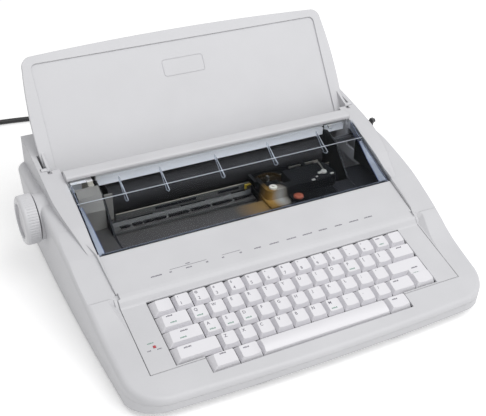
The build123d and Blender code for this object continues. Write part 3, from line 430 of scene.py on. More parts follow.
# each row of bars: its key, its place in key pitches, its length, and 0 for grey, 1 for green
wide_keys = [("key_tab", 0.68, 1.30, 6.5, 0), ("key_tab", 0.76, 1.70, 6.5, 1),
             ("key_lock", 1.03, 2.37, 7.5, 0), ("key_lock", 0.86, 2.73, 6.5, 1),
             ("key_shift_left", 0.81, 3.35, 7.5, 0), ("key_code", 2.27, 4.29, 6.5, 0),
             ("key_alt", 3.50, 4.36, 6.0, 0), ("key_return", 14.54, 2.83, 7.5, 0),
             ("key_return", 14.42, 3.18, 6.5, 1), ("key_erase", 14.48, 1.31, 7.0, 0),
             ("key_shift_right", 12.98, 3.34, 6.5, 0), ("key_index", 12.26, 4.37, 6.0, 0)]
for name, u, v, length, finish in wide_keys:
    legends[name].append((u, v, bars(length, 1.5), 1.0, finish))
for name, list_of_marks in legends.items():
    if list_of_marks:
        marks = [(over_keys(u, v), *shape, scale, finish)
                 for u, v, shape, scale, finish in list_of_marks]
        printed("print_" + name, marks, surface_of(name), -out_keys, Vector((1, 0, 0)),
                up_keys, name + "_body")

# The printing on the front panel
# Pad-printed grey bars in short rows along the panel, two pairs of them joined by brackets,
# and a few rows round the lamp, one of them green.
panel = surface_of("front_panel")
straight_down = Vector((0, 0, -1))
over_panel = 110
panel_marks = []
for x0, x1 in ((-132.7, -121), (-19, -11), (-1.3, 9.5), (19, 30), (38.1, 49.3), (57.7, 67.8),
               (77.6, 86.4), (95.6, 107.2), (114.9, 124.7)):
    panel_marks.append((mm((x0 + x1) / 2, 20, over_panel), *bars(x1 - x0, 1.4), 1.0, 0))
for x in (-111.7, -72.1, -54.4, -34.5):
    panel_marks.append((mm(x, 20, over_panel), *bars(2.6, 1.6), 1.0, 0))
# the brackets' lines, in short lengths that follow the panel's face
bracket_lengths = 8
half_line = 0.2
for x0, x1, y in ((-111.7, -71.8, 22.6), (-54.4, -33.8, 22.9)):
    for i in range(bracket_lengths):
        a = x0 + (x1 - x0) * i / bracket_lengths
        b = x0 + (x1 - x0) * (i + 1) / bracket_lengths
        outline = [((a - b) / 2, -half_line), ((b - a) / 2, -half_line),
                   ((b - a) / 2, half_line), ((a - b) / 2, half_line)]
        panel_marks.append((mm((a + b) / 2, y, over_panel), outline, [[0, 1, 2, 3]], 1.0, 0))
panel_marks += [(mm(-92, 19.7, over_panel), *bars(7.0, 1.3), 1.0, 0),
                (mm(-91.5, 24.6, over_panel), *bars(5.0, 1.2), 1.0, 0)]
printed("print_front_panel", panel_marks, panel, straight_down, Vector((1, 0, 0)),
        Vector((0, 1, 0)), "chassis")
lamp_marks = [(over_keys(-0.75, 2.41), *bars(6.0, 1.3), 1.0, 1),
              (over_keys(-0.44, 2.85), *bars(4.5, 1.2), 1.0, 0),
              (over_keys(-0.96, 2.82), *bars(4.0, 1.2), 1.0, 0)]
printed("print_beside_lamp", lamp_marks, panel, -out_keys, Vector((1, 0, 0)), up_keys,
        "chassis")

# The lamp
# A small red lens pushed up through the panel beside the shift keys.
# moulded acrylic: glossy, with a little light scattered inside
lens, tree = blank("moulded_acrylic_red")
at = node(tree, "ShaderNodeTexCoord").outputs["Object"]
swirl = node(tree, "ShaderNodeTexNoise", None, {"Vector": at, "Scale": 700.0, "Detail": 2.0})
bump = node(tree, "ShaderNodeBump", None, {"Height": swirl.outputs[0], "Strength": 0.06,
                                           "Distance": 0.0002})
skin = node(tree, "ShaderNodeBsdfPrincipled", None, {
    "Base Color": linear("#B8454A"), "Roughness": 0.25, "IOR": 1.49, "Subsurface Weight": 0.1,
    "Normal": bump.outputs[0]})
node(tree, "ShaderNodeOutputMaterial", None, {"Surface": skin.outputs[0]})
dress(lens, "status_lamp")

# The clear cover
# One piece of clear cast acrylic, 2.2 mm thick, with polished faces. Its fold and the edges
# of its five ribs carry thin pale beads, painted highlights, and its end walls carry a grey
# sheet inside, a painted reflection.
# cast acrylic: clear and nearly colourless; the IOR is set below 1.49, because the haze of a
# white room in both faces would hide the mechanism, which the photograph shows clearly
acrylic, tree = blank("cast_acrylic_clear")
at = node(tree, "ShaderNodeTexCoord").outputs["Object"]
handled = node(tree, "ShaderNodeTexNoise", None, {"Vector": at, "Scale": 1000 / 45,
                                                  "Detail": 3.0})
smear = node(tree, "ShaderNodeMapRange", None, {"Value": handled.outputs[0], "From Min": 0.4,
                                                "From Max": 0.7, "To Min": 0.01, "To Max": 0.05})
clear = node(tree, "ShaderNodeBsdfPrincipled", None, {
    "Base Color": linear("#F4F7FB"), "Roughness": smear.outputs[0], "IOR": 1.10,
    "Transmission Weight": 1.0})
through = node(tree, "ShaderNodeBsdfTransparent", None, {"Color": linear("#EEF3F8")})
rays = node(tree, "ShaderNodeLightPath")
mixed = node(tree, "ShaderNodeMixShader", None, {
    0: rays.outputs["Is Shadow Ray"], 1: clear.outputs[0], 2: through.outputs[0]})
node(tree, "ShaderNodeOutputMaterial", None, {"Surface": mixed.outputs[0]})
dress(acrylic, "window_cover", "card_holder")



def sheet_across(shape, x0, x1, outline):
    """Adds a form of one section, its outline in (y, z) mm, that runs from x0 to x1."""
    rings = [[shape.verts.new(mm(x, y, z)) for y, z in outline] for x in (x0, x1)]
    shape.faces.new(rings[0])
    shape.faces.new(rings[1][::-1])
    for i in range(len(outline)):
        k = (i + 1) % len(outline)
        shape.faces.new([rings[0][k], rings[0][i], rings[1][i], rings[1][k]])
    bmesh.ops.recalc_face_normals(shape, faces=shape.faces)


def finished(name, shape, material, body):
    """Makes the shape an object that rides on a body."""
    mesh = bpy.data.meshes.new(name)
    shape.to_mesh(mesh)
    shape.free()
    mesh.materials.append(material)
    piece = bpy.data.objects.new(name, mesh)
    bpy.context.scene.collection.objects.link(piece)
    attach(piece, body)


# painted light on the acrylic: a pale, half glossy painted highlight along the fold and the
# ribs' edges; deep blue beads, a painted reflection where one looks along the sheet; a dark
# grey bead of painted shade at the front; and a cloudy grey sheet, a painted reflection
highlight_acrylic = moulded("acrylic_painted_highlight", "#B9BFC9", 0.3, 0.5, 0.05, 0.2, 0.15)
blue_reflection_acrylic = moulded("acrylic_painted_blue_reflection", "#3F4B70", 0.25, 0.5, 0.05, 0.2, 0.10)
front_shade_acrylic = moulded("acrylic_painted_front_shade", "#3A3F4B", 0.3, 0.5, 0.05, 0.2, 0.3)
grey_reflection_acrylic = moulded("acrylic_painted_grey_reflection", "#82868F", 0.5, 1.2, 0.3, 0.3, 0.45, 0.3)
cover_half = 173.2
# the fold's pale bead: a painted highlight
bead("cover_fold_line", [[mm(-cover_half + 0.6, 119.8, 102.2), mm(cover_half - 0.6, 119.8, 102.2)]],
     0.42, highlight_acrylic, "window")
# the ribs' pale beads: painted highlights
rib_outline = [(141.5, 111.4), (119.8, 100.9), (113.4, 97.9), (116.3, 94.5), (120.6, 93.0),
               (124.1, 95.9), (140.6, 108.2)]
rib_lines = []
for x in (-119.9, -73.3, -8.0, 57.3, 122.0):
    rib_lines.append([mm(x, y, z) for y, z in rib_outline + rib_outline[:1]])
bead("cover_rib_edges", rib_lines, 0.34, highlight_acrylic, "window")
wall_outline = [(60, 76.2), (119.8, 99.8), (143.8, 111.4), (144.4, 102.2), (119.8, 93.2),
                (64.6, 70.8), (60, 71.6)]
# deep blue beads along the end walls' edges: a painted reflection
end_lines = []
for side in (-1, 1):
    end_lines.append([mm(side * 170.9, y, z) for y, z in wall_outline[3:6]])
    end_lines.append([mm(side * 170.9, y - 0.4, z - 1.0) for y, z in wall_outline[:3]])
bead("cover_end_edges", end_lines, 0.5, blue_reflection_acrylic, "window")
# a grey sheet inside each end wall: a painted reflection
end_reflection = bmesh.new()
for side in (-1, 1):
    sheet_across(end_reflection, side * 171.15, side * 170.65, wall_outline)
finished("cover_end_painted_reflection", end_reflection, grey_reflection_acrylic, "window")

# a pale strip lies under the cover's face at each end, a painted reflection of its side walls,
# with a deep blue inner edge, also a painted reflection; it narrows from the cover's front to
# the fold
strips = bmesh.new()
strip_lines = []
strip_half = 170.4
under = [(61.5, 75.6), (92.0, 88.0), (118.6, 98.8)]
for side, wide in ((-1, 6.0), (1, 9.0)):
    outer = side * strip_half
    inner = [side * (strip_half - share * wide) for share in (1.0, 0.75, 0.3)]
    rows_of_points = []
    for at_inner, drop in ((False, 0.3), (True, 0.6), (True, 1.2), (False, 0.9)):
        rows_of_points.append([
            strips.verts.new(mm(inner[j] if at_inner else outer, y, z - drop))
            for j, (y, z) in enumerate(under)])
    for i in range(4):
        k = (i + 1) % 4
        for j in range(2):
            strips.faces.new([rows_of_points[i][j], rows_of_points[i][j + 1],
                              rows_of_points[k][j + 1], rows_of_points[k][j]])
    for j in (0, 2):
        strips.faces.new([rows_of_points[i][j] for i in range(4)])
    strip_lines.append([mm(x, y, z - 0.9) for x, (y, z) in zip(inner, under)])
bmesh.ops.recalc_face_normals(strips, faces=strips.faces)
finished("cover_end_strips", strips, grey_reflection_acrylic, "window")
bead("cover_strip_edges", strip_lines, 0.45, blue_reflection_acrylic, "window")
# a dark grey bead along the cover's front edge: painted shade
bead("cover_front_edge", [[mm(-168.0, 61.6, 75.6), mm(168.0, 61.6, 75.6)]], 0.7, front_shade_acrylic,
     "window")

# The platen, its feed rollers and the paper pan
# A ground rubber sleeve on a steel shaft, four rubber rollers below it and a curved steel
# sheet that leads the paper round.
# ground rubber: nearly black and dry, with a faint drag round it from the grinding wheel
rubber, tree = blank("ground_rubber_black")
at = node(tree, "ShaderNodeTexCoord").outputs["Object"]
along = node(tree, "ShaderNodeMapping", None, {"Vector": at, "Scale": (1.0, 0.05, 0.05)})
drag = node(tree, "ShaderNodeTexNoise", None, {"Vector": along.outputs[0], "Scale": 900.0,
                                               "Detail": 3.0})
rough = node(tree, "ShaderNodeMapRange", None, {"Value": drag.outputs[0], "From Min": 0.3,
                                                "From Max": 0.7, "To Min": 0.5, "To Max": 0.66})
bump = node(tree, "ShaderNodeBump", None, {"Height": drag.outputs[0], "Strength": 0.12,
                                           "Distance": 0.0002})
skin = node(tree, "ShaderNodeBsdfPrincipled", None, {
    "Base Color": linear("#1A191A"), "Roughness": rough.outputs[0], "IOR": 1.52,
    "Specular IOR Level": 0.2, "Normal": bump.outputs[0]})
node(tree, "ShaderNodeOutputMaterial", None, {"Surface": skin.outputs[0]})
dress(rubber, "platen_roller", "feed_rollers")


def worked_metal(name, colour, roughness, streak_mm, stretch):
    """Bare or plated metal, with streaks in its gloss from rolling, drawing or grinding."""
    material, tree = blank(name)
    at = node(tree, "ShaderNodeTexCoord").outputs["Object"]
    along = node(tree, "ShaderNodeMapping", None, {"Vector": at, "Scale": stretch})
    streak = node(tree, "ShaderNodeTexNoise", None, {
        "Vector": along.outputs[0], "Scale": 1000 / streak_mm, "Detail": 3.0})
    rough = node(tree, "ShaderNodeMapRange", None, {
        "Value": streak.outputs[0], "From Min": 0.3, "From Max": 0.7,
        "To Min": roughness - 0.06, "To Max": roughness + 0.08})
    bump = node(tree, "ShaderNodeBump", None, {"Height": streak.outputs[0], "Strength": 0.08,
                                               "Distance": 0.0001})
    skin = node(tree, "ShaderNodeBsdfPrincipled", None, {
        "Base Color": linear(colour), "Metallic": 1.0, "Roughness": rough.outputs[0],
        "Normal": bump.outputs[0]})
    node(tree, "ShaderNodeOutputMaterial", None, {"Surface": skin.outputs[0]})
    return material


# zinc-plated sheet: cloudy grey with a soft gleam; ground steel: bright, streaked lengthwise;
# blackened sheet: dark and half matt; a sheared edge: bare, warm and dull
plated = worked_metal("zinc_plated_sheet", "#A9A9A6", 0.38, 4.0, (1.0, 1.0, 1.0))
ground = worked_metal("ground_steel_rod", "#B5B5B4", 0.24, 1.0, (0.05, 1.0, 1.0))
dark_sheet = worked_metal("blackened_steel_sheet", "#232324", 0.5, 4.0, (1.0, 1.0, 1.0))
edge_steel = worked_metal("sheared_steel_edge", "#A59C90", 0.4, 2.0, (0.1, 1.0, 1.0))
dress(ground, "platen_shaft", "carriage_rod", "wheel_hub", "print_hammer", "case_screws")
dress(dark_sheet, "paper_pan")

# The side frames, motors and release lever
# Two pressed steel frames in black stove enamel carry the platen. The motors are plated cans,
# and the release lever is a dark moulding.
# stove enamel: even, half matt and hard; moulded nylon: dark, with a waxy gleam
dark_paint = moulded("stove_enamel_black", "#17181A", 0.55, 1.0, 0.15, 0.3, 0.06, 0.12)
dress(dark_paint, "side_frame_left", "side_frame_right")
dress(plated, "wheel_motor", "carriage_motor", "feed_motor", "keyboard_plate")
lever_plastic = moulded("moulded_nylon_dark_grey", "#3C3C3E", 0.45, 0.5, 0.2, 0.8)
dress(lever_plastic, "release_lever")

# The gears and tape spools
# Cut and moulded in natural acetal: a milky off-white, slightly greasy to the eye. The left
# spool is full of correction film, wound tight: amber, with the satin side of its turns.
acetal = moulded("moulded_acetal_natural", "#BDB9AE", 0.38, 0.5, 0.1, 0.3)
dress(acetal, "platen_gear", "feed_pinion", "carriage_pinion", "tape_spool_right")
tape = moulded("wound_film_amber", "#8F7526", 0.35, 0.6, 0.2, 0.2, 0.1)
dress(tape, "tape_spool_left")

# The deck and the ties between the frames
# Glass-filled plastic and blackened sheet under the cover. To the left of the carriage the
# deck is painted paler, a painted reflection of the room in the cover, with an amber smear
# near the carriage; under the carriage it keeps its own dark colour.
deck, tree = blank("moulded_glass_filled_deck")
at = node(tree, "ShaderNodeTexCoord").outputs["Object"]
fine = node(tree, "ShaderNodeTexNoise", None, {"Vector": at, "Scale": 1000 / 0.8, "Detail": 3.0})
bump = node(tree, "ShaderNodeBump", None, {"Height": fine.outputs[0], "Strength": 0.2,
                                           "Distance": 0.0003})
# painted reflection: left of 48 mm the deck is a mottled paler grey, fading by 66 mm to its own
# dark colour
split = node(tree, "ShaderNodeSeparateXYZ", None, {"Vector": at})
reflection_ends, plain_begins = mm(48, 0, 0).x, mm(66, 0, 0).x
past_reflection = node(tree, "ShaderNodeMapRange", {"interpolation_type": "SMOOTHSTEP"}, {
    "Value": split.outputs["X"], "From Min": reflection_ends, "From Max": plain_begins})
reflection_mottle = node(tree, "ShaderNodeTexNoise", None, {"Vector": at, "Scale": 1000 / 38, "Detail": 4.0})
painted_reflection_tone = node(tree, "ShaderNodeMix", {"data_type": "RGBA"}, {
    "Factor": reflection_mottle.outputs[0], 6: linear("#363433"), 7: linear("#454240")})
place, scale = mm(28, 86, 66), (27.0, 34.0, 1.0)
smear_at = node(tree, "ShaderNodeMapping", None, {
    "Vector": at, "Location": tuple(-p * s for p, s in zip(place, scale)), "Scale": scale})
round_smear = node(tree, "ShaderNodeTexGradient", {"gradient_type": "SPHERICAL"},
                   {"Vector": smear_at.outputs[0]})
amber_part = node(tree, "ShaderNodeMath", {"operation": "MULTIPLY"},
                  {0: round_smear.outputs[1], 1: 0.9})
stained = node(tree, "ShaderNodeMix", {"data_type": "RGBA"}, {
    "Factor": amber_part.outputs[0], 6: painted_reflection_tone.outputs[2], 7: linear("#7C5F30")})
base = node(tree, "ShaderNodeMix", {"data_type": "RGBA"}, {
    "Factor": past_reflection.outputs[0], 6: stained.outputs[2], 7: linear("#131418")})
skin = node(tree, "ShaderNodeBsdfPrincipled", None, {
    "Base Color": base.outputs[2], "Roughness": 0.52, "IOR": 1.5, "Specular IOR Level": 0.2,
    "Normal": bump.outputs[0]})
node(tree, "ShaderNodeOutputMaterial", None, {"Surface": skin.outputs[0]})
dress(deck, "frame_ties")
# glass-filled nylon: deep black and dry, with hardly a gleam
dark_plastic = moulded("glass_filled_nylon_black", "#0C0D0F", 0.6, 0.5, 0.2, 0.6, 0.03, 0.05)
dress(dark_plastic, "hammer_solenoid")
# the same nylon where it is soiled: amber film dust, and a pale bloom near the tape's spool
# that is a painted highlight
soiled_and_highlit, tree = blank("glass_filled_nylon_stain_and_highlight")
at = node(tree, "ShaderNodeTexCoord").outputs["Object"]
colour = linear("#0F1012")
# the amber spot is a stain; the pale grey spot is a painted highlight on the cassette
for centre, scale, amount, spot_colour in (((37, 86, 70), (48.0, 42.0, 30.0), 1.1, "#86652F"),
                                     ((47, 85, 72), (95.0, 55.0, 40.0), 1.0, "#8E908E")):
    place = mm(*centre)
    spot = node(tree, "ShaderNodeMapping", None, {
        "Vector": at, "Location": tuple(-p * s for p, s in zip(place, scale)), "Scale": scale})
    fade = node(tree, "ShaderNodeTexGradient", {"gradient_type": "SPHERICAL"},
                {"Vector": spot.outputs[0]})
    share = node(tree, "ShaderNodeMath", {"operation": "MULTIPLY", "use_clamp": True},
                 {0: fade.outputs[1], 1: amount})
    over = node(tree, "ShaderNodeMix", {"data_type": "RGBA"}, {
        "Factor": share.outputs[0], 6: colour, 7: linear(spot_colour)})
    colour = over.outputs[2]
skin = node(tree, "ShaderNodeBsdfPrincipled", None, {
    "Base Color": colour, "Roughness": 0.6, "IOR": 1.5, "Specular IOR Level": 0.06})
node(tree, "ShaderNodeOutputMaterial", None, {"Surface": skin.outputs[0]})
dress(soiled_and_highlit, "carriage_sled", "ribbon_cassette")

# The comb behind the rail
# A strip of small teeth, moulded in short lengths, that lies behind the rail in front of
# the platen and steadies the paper's lower edge.
# moulded nylon: black, with small glints on the teeth
comb_plastic = moulded("moulded_nylon_comb_black", "#0E0E0F", 0.5, 0.6, 0.1, 0.1, 0.03, 0.2)
comb_tree = bpy.data.node_groups.new("comb", "GeometryNodeTree")
sizes = {}
for label in ("Start", "Pitch", "Tooth width", "Tooth depth", "Tooth height", "Bar height"):
    sizes[label] = comb_tree.interface.new_socket(
        label, in_out="INPUT", socket_type="NodeSocketFloat").identifier
sizes["Teeth"] = comb_tree.interface.new_socket("Teeth", in_out="INPUT",
                                                socket_type="NodeSocketInt").identifier
sizes["Finish"] = comb_tree.interface.new_socket("Finish", in_out="INPUT",
                                                 socket_type="NodeSocketMaterial").identifier
comb_tree.interface.new_socket("Comb", in_out="OUTPUT", socket_type="NodeSocketGeometry")
taken = node(comb_tree, "NodeGroupInput")
comb_place = mm(0, 123.0, 57.5)
bar_lift = 0.0003
first = node(comb_tree, "ShaderNodeCombineXYZ", None, {
    "X": taken.outputs["Start"], "Y": comb_place.y, "Z": comb_place.z})
step = node(comb_tree, "ShaderNodeCombineXYZ", None, {"X": taken.outputs["Pitch"]})
line = node(comb_tree, "GeometryNodeMeshLine", None, {
    "Count": taken.outputs["Teeth"], "Start Location": first.outputs[0],
    "Offset": step.outputs[0]})
size = node(comb_tree, "ShaderNodeCombineXYZ", None, {
    "X": taken.outputs["Tooth width"], "Y": taken.outputs["Tooth depth"],
    "Z": taken.outputs["Tooth height"]})
tooth = node(comb_tree, "GeometryNodeMeshCube", None, {"Size": size.outputs[0]})
half = node(comb_tree, "ShaderNodeMath", {"operation": "MULTIPLY"}, {
    0: taken.outputs["Tooth height"], 1: 0.5})
lift = node(comb_tree, "ShaderNodeCombineXYZ", None, {"Z": half.outputs[0]})
raised = node(comb_tree, "GeometryNodeTransform", None, {
    "Geometry": tooth.outputs[0], "Translation": lift.outputs[0]})
teeth = node(comb_tree, "GeometryNodeInstanceOnPoints", None, {
    "Points": line.outputs[0], "Instance": raised.outputs[0]})
# the bar that joins the teeth of one length
span = node(comb_tree, "ShaderNodeMath", {"operation": "MULTIPLY"}, {
    0: taken.outputs["Pitch"], 1: taken.outputs["Teeth"]})
bar_depth = node(comb_tree, "ShaderNodeMath", {"operation": "MULTIPLY"}, {
    0: taken.outputs["Tooth depth"], 1: 0.35})
bar_size = node(comb_tree, "ShaderNodeCombineXYZ", None, {
    "X": span.outputs[0], "Y": bar_depth.outputs[0], "Z": taken.outputs["Bar height"]})
bar = node(comb_tree, "GeometryNodeMeshCube", None, {"Size": bar_size.outputs[0]})
middle = node(comb_tree, "ShaderNodeMath", {"operation": "MULTIPLY_ADD"}, {
    0: span.outputs[0], 1: 0.5, 2: taken.outputs["Start"]})
bar_place = node(comb_tree, "ShaderNodeCombineXYZ", None, {
    "X": middle.outputs[0], "Y": comb_place.y, "Z": comb_place.z + bar_lift})
set_down = node(comb_tree, "GeometryNodeTransform", None, {
    "Geometry": bar.outputs[0], "Translation": bar_place.outputs[0]})
both = node(comb_tree, "GeometryNodeJoinGeometry")
comb_tree.links.new(teeth.outputs[0], both.inputs[0])
comb_tree.links.new(set_down.outputs[0], both.inputs[0])
real = node(comb_tree, "GeometryNodeRealizeInstances", None, {0: both.outputs[0]})
coated = node(comb_tree, "GeometryNodeSetMaterial", None, {
    "Geometry": real.outputs[0], "Material": taken.outputs["Finish"]})
node(comb_tree, "NodeGroupOutput", None, {0: coated.outputs[0]})
comb = bmesh.new()
for start, teeth_count in ((-127, 4), (-113, 4), (-100.5, 10), (-71, 9), (-44.7, 9), (-18.4, 9),
                           (8, 9), (34.4, 9), (60.8, 9), (87.2, 9), (113.6, 9)):
    piece = bpy.data.objects.new("comb_length", bpy.data.meshes.new("comb_length"))
    bpy.context.scene.collection.objects.link(piece)
    grower = piece.modifiers.new("comb", "NODES")
    grower.node_group = comb_tree
    grower[sizes["Start"]] = mm(start, 0, 0).x
    grower[sizes["Pitch"]] = 0.00254
    grower[sizes["Tooth width"]] = 0.0011
    grower[sizes["Tooth depth"]] = 0.0050
    grower[sizes["Tooth height"]] = 0.0020
    grower[sizes["Bar height"]] = 0.0030
    grower[sizes["Teeth"]] = teeth_count
    grower[sizes["Finish"]] = comb_plastic
    settled(piece, grower)
    comb.from_mesh(piece.data)
    bpy.data.objects.remove(piece)
finished("rail_comb", comb, comb_plastic, "chassis")

# The shelf behind the rail
# A pressed grey sheet that lies along the rear of the rail, below the print wheel's path,
# and rises in two slopes towards the platen.
# stove enamel: even and half matt, patchy where paper dust has settled
shelf = bmesh.new()
sheet_across(shelf, -138.0, 138.0, [(120.15, 57.0), (126.0, 58.4), (131.3, 60.8),
                                    (131.3, 60.0), (126.0, 57.6), (120.15, 56.2)])
shelf_grey = moulded("stove_enamel_mid_grey", "#4A4947", 0.5, 0.9, 0.15, 0.2, 0.12, 0.3)
finished("rail_shelf", shelf, shelf_grey, "chassis")

# The liners beside and behind the mechanism
# Thin dark sheet on the case's walls at both ends, and white sheet over the wall behind the
# platen, carried on to the window's ends: its white, paler than the case, is painted light on
# a wall in shade.
# pressed fibre: black and dry, with a fine felted grain
liners = bmesh.new()
liner_outline = [(60.6, 66.1), (60.6, 68.4), (64.4, 68.9), (119.8, 91.0), (134, 96.2),
                 (134, 66.1)]
for side in (-1, 1):
    sheet_across(liners, side * 173.6, side * 172.9, liner_outline)
liner_sheet = moulded("pressed_fibre_sheet_black", "#15161A", 0.6, 0.8, 0.2, 0.2, 0.05, 0.15)
finished("wall_liners", liners, liner_sheet, "chassis")


def rounded_block(shape, x0, x1, y0, y1, z0, z1, soft):
    """Adds a bar with softened edges; sizes in mm."""
    made = bmesh.ops.create_cube(shape, size=1.0)["verts"]
    middle = mm((x0 + x1) / 2, (y0 + y1) / 2, (z0 + z1) / 2)
    for v in made:
        v.co = Vector((v.co.x * (x1 - x0), v.co.y * (y1 - y0), v.co.z * (z1 - z0))) / 1000 + middle
    edges = list({e for v in made for e in v.link_edges})
    bmesh.ops.bevel(shape, geom=edges, offset=soft / 1000, segments=2, profile=0.5,
                    affect="EDGES")


# moulded white ABS, clean and half matt: an upright piece and a ledge at each end of the
# wall, and a long thin facing over the wall itself; their white is painted light where the
# wall lies in the bar's shadow
backs = bmesh.new()
rounded_block(backs, 144.2, 170.8, 158.4, 159.8, 95.2, 109.6, 0.4)
rounded_block(backs, -170.8, -155.8, 158.4, 159.8, 92.2, 109.6, 0.4)
rounded_block(backs, 144.2, 170.8, 152.8, 158.6, 107.6, 108.5, 0.3)
rounded_block(backs, -170.0, -145.8, 149.6, 158.6, 107.4, 108.3, 0.3)
rounded_block(backs, -140.8, 140.8, 156.4, 157.0, 95.4, 113.6, 0.2)
painted_light_white = moulded("moulded_abs_white_painted_light", "#F0F1F3", 0.5, 0.7, 0.1, 0.3)
finished("chute_wall_ends", backs, painted_light_white, "chassis")

# The guard before the platen gear
# A thin moulded sheet that stands at the platen's left end and leans back over the gear,
# with a narrow upright plate beside it.
# moulded ABS soiled with ribbon dust: warm grey in uneven patches
guard = bmesh.new()
sheet_across(guard, -168.6, -143.4, [
    (117.6, 66.1), (120.2, 88.0), (129.4, 101.6), (140.4, 106.6), (140.4, 105.5),
    (130.4, 100.7), (121.6, 87.6), (119.0, 66.1)])
rounded_block(guard, -140.7, -131.6, 130.0, 131.6, 66.4, 99.0, 0.4)
guard_plastic = moulded("moulded_abs_guard_grey", "#67645F", 0.5, 0.7, 0.15, 0.3, 0.4, 0.3)
finished("gear_guard", guard, guard_plastic, "chassis")

# The paper guide and the strip on the rail
# A pressed sheet below the platen's front, enamelled as the shelf is, with two dark slots in
# it, painted shade laid on as black pads, and a bare sheared upper edge, and a strip of the
# same sheet on the rail's front, paler than the rail: painted light on the shaded rail.
guide = bmesh.new()
rounded_block(guide, -127.6, 140.4, 136.8, 137.6, 58.2, 66.8, 0.3)
# the strip on the rail's front: painted light where the rail lies in shade
rounded_block(guide, -138.0, 138.0, 116.0, 116.9, 54.8, 58.3, 0.2)
finished("paper_guide", guide, shelf_grey, "chassis")
# the slots: black pads on the sheet, painted shade
slots = bmesh.new()
rounded_block(slots, -82.0, -33.0, 136.5, 136.9, 61.4, 64.8, 0.2)
rounded_block(slots, -6.0, 20.0, 136.5, 136.9, 61.4, 64.8, 0.2)
finished("paper_guide_slots", slots, liner_sheet, "chassis")
bead("paper_guide_edge", [[mm(-127.4, 137.2, 66.9), mm(140.2, 137.2, 66.9)]], 0.42, edge_steel,
     "chassis")

# The ribbon cassette and what stands on it
# A flat moulded box on the carriage with an orange winder, a small white drive wheel, small
# clips, a plated strip before the platen and a cranked locking lever.
# moulded polystyrene: bright orange dulled by use, with a smooth satin gloss
orange = moulded("moulded_polystyrene_orange", "#8E4630", 0.35, 0.5, 0.1, 0.5)
dress(orange, "ribbon_knob")


def turned(shape, x, y, profile, sides=32, flute_depth=0.0):
    """Adds a turned form about an upright axis; profile is (radius, height) in mm. Where it
    is fluted, every second point round it stands in by the flutes' depth."""
    rings = []
    for r, z in profile:
        ring = []
        for i in range(sides):
            a = 2 * math.pi * i / sides
            cut = flute_depth if i % 2 and r > 1.0 else 0.0
            ring.append(shape.verts.new(mm(x + (r - cut) * math.cos(a),
                                           y + (r - cut) * math.sin(a), z)))
        rings.append(ring)
    for low, high in zip(rings, rings[1:]):
        for i in range(sides):
            k = (i + 1) % sides
            shape.faces.new([low[i], low[k], high[k], high[i]])
    shape.faces.new(rings[0][::-1])
    shape.faces.new(rings[-1])


# rolled steel strip: grey and satin, streaked along its length
strip = bmesh.new()
rounded_block(strip, 82, 101.5, 131.2, 132.6, 75.4, 77.6, 0.4)
rounded_block(strip, 98.2, 121.5, 131.4, 133.2, 74.8, 77.8, 0.4)
rounded_block(strip, 86, 96.5, 121.2, 126.8, 75.2, 76.6, 0.4)
rounded_block(strip, 114.4, 120.4, 119.5, 132.2, 75.6, 77.0, 0.4)
satin = worked_metal("rolled_steel_strip", "#8E8A82", 0.36, 2.0, (0.1, 1.0, 1.0))
finished("ribbon_strip", strip, satin, "carriage")
bead("locking_lever", [[mm(114.6, 120.5, 82.0), mm(113.6, 116, 82.6), mm(110.6, 99.6, 82.6)]],
     0.8, satin, "carriage")
# moulded acetal, grey for the boss and the clips, natural for the wheel: smooth and waxy
boss = bmesh.new()
turned(boss, 109.6, 99.6, [(3.4, 80.9), (3.4, 83.0), (2.9, 83.6), (1.4, 83.8), (1.2, 83.2)])
rounded_block(boss, 102.5, 108.0, 98.2, 101.4, 80.9, 82.4, 0.4)
rounded_block(boss, 88.6, 92.6, 88.2, 90.8, 80.9, 82.2, 0.4)
rounded_block(boss, 96.2, 98.8, 93.2, 94.8, 80.9, 82.0, 0.3)
rounded_block(boss, 114.8, 119.0, 92.2, 94.2, 80.9, 82.2, 0.4)
clip_plastic = moulded("moulded_acetal_grey", "#9C9A93", 0.4, 0.5, 0.1, 0.2)
finished("locking_boss", boss, clip_plastic, "carriage")
wheel = bmesh.new()
turned(wheel, 41.5, 94.0, [(4.6, 80.9), (4.6, 82.6), (4.2, 83.0), (2.0, 83.0), (1.6, 84.2),
                           (0.9, 84.4)], 40, 0.3)
finished("ribbon_drive_wheel", wheel, acetal, "carriage")
# moulded nylon: a dull yellow, darkened by ribbon dust
clip = bmesh.new()
rounded_block(clip, 23.4, 25.6, 127.2, 129.4, 65.3, 70.2, 0.3)
rounded_block(clip, 23.4, 31.0, 126.8, 129.4, 69.4, 70.8, 0.3)
yellow = moulded("moulded_nylon_yellow", "#A08A24", 0.4, 0.5, 0.1, 0.2)
finished("paper_clip_guide", clip, yellow, "carriage")

# The print wheel
# A thin moulded disc with seventy-two thin spokes, each with a type slug at its tip.
# moulded nylon: dark amber, dulled by the ink it has picked up
amber = moulded("moulded_nylon_dark_amber", "#38290F", 0.5, 0.5, 0.1, 0.2, 0.03, 0.2)
dress(amber, "daisy_wheel")

# The power switch
# A black rocker in its moulded body at the rear, both in the glass-filled nylon that the
# parts under the cover are made of.
dress(dark_plastic, "power_switch_body", "power_rocker")

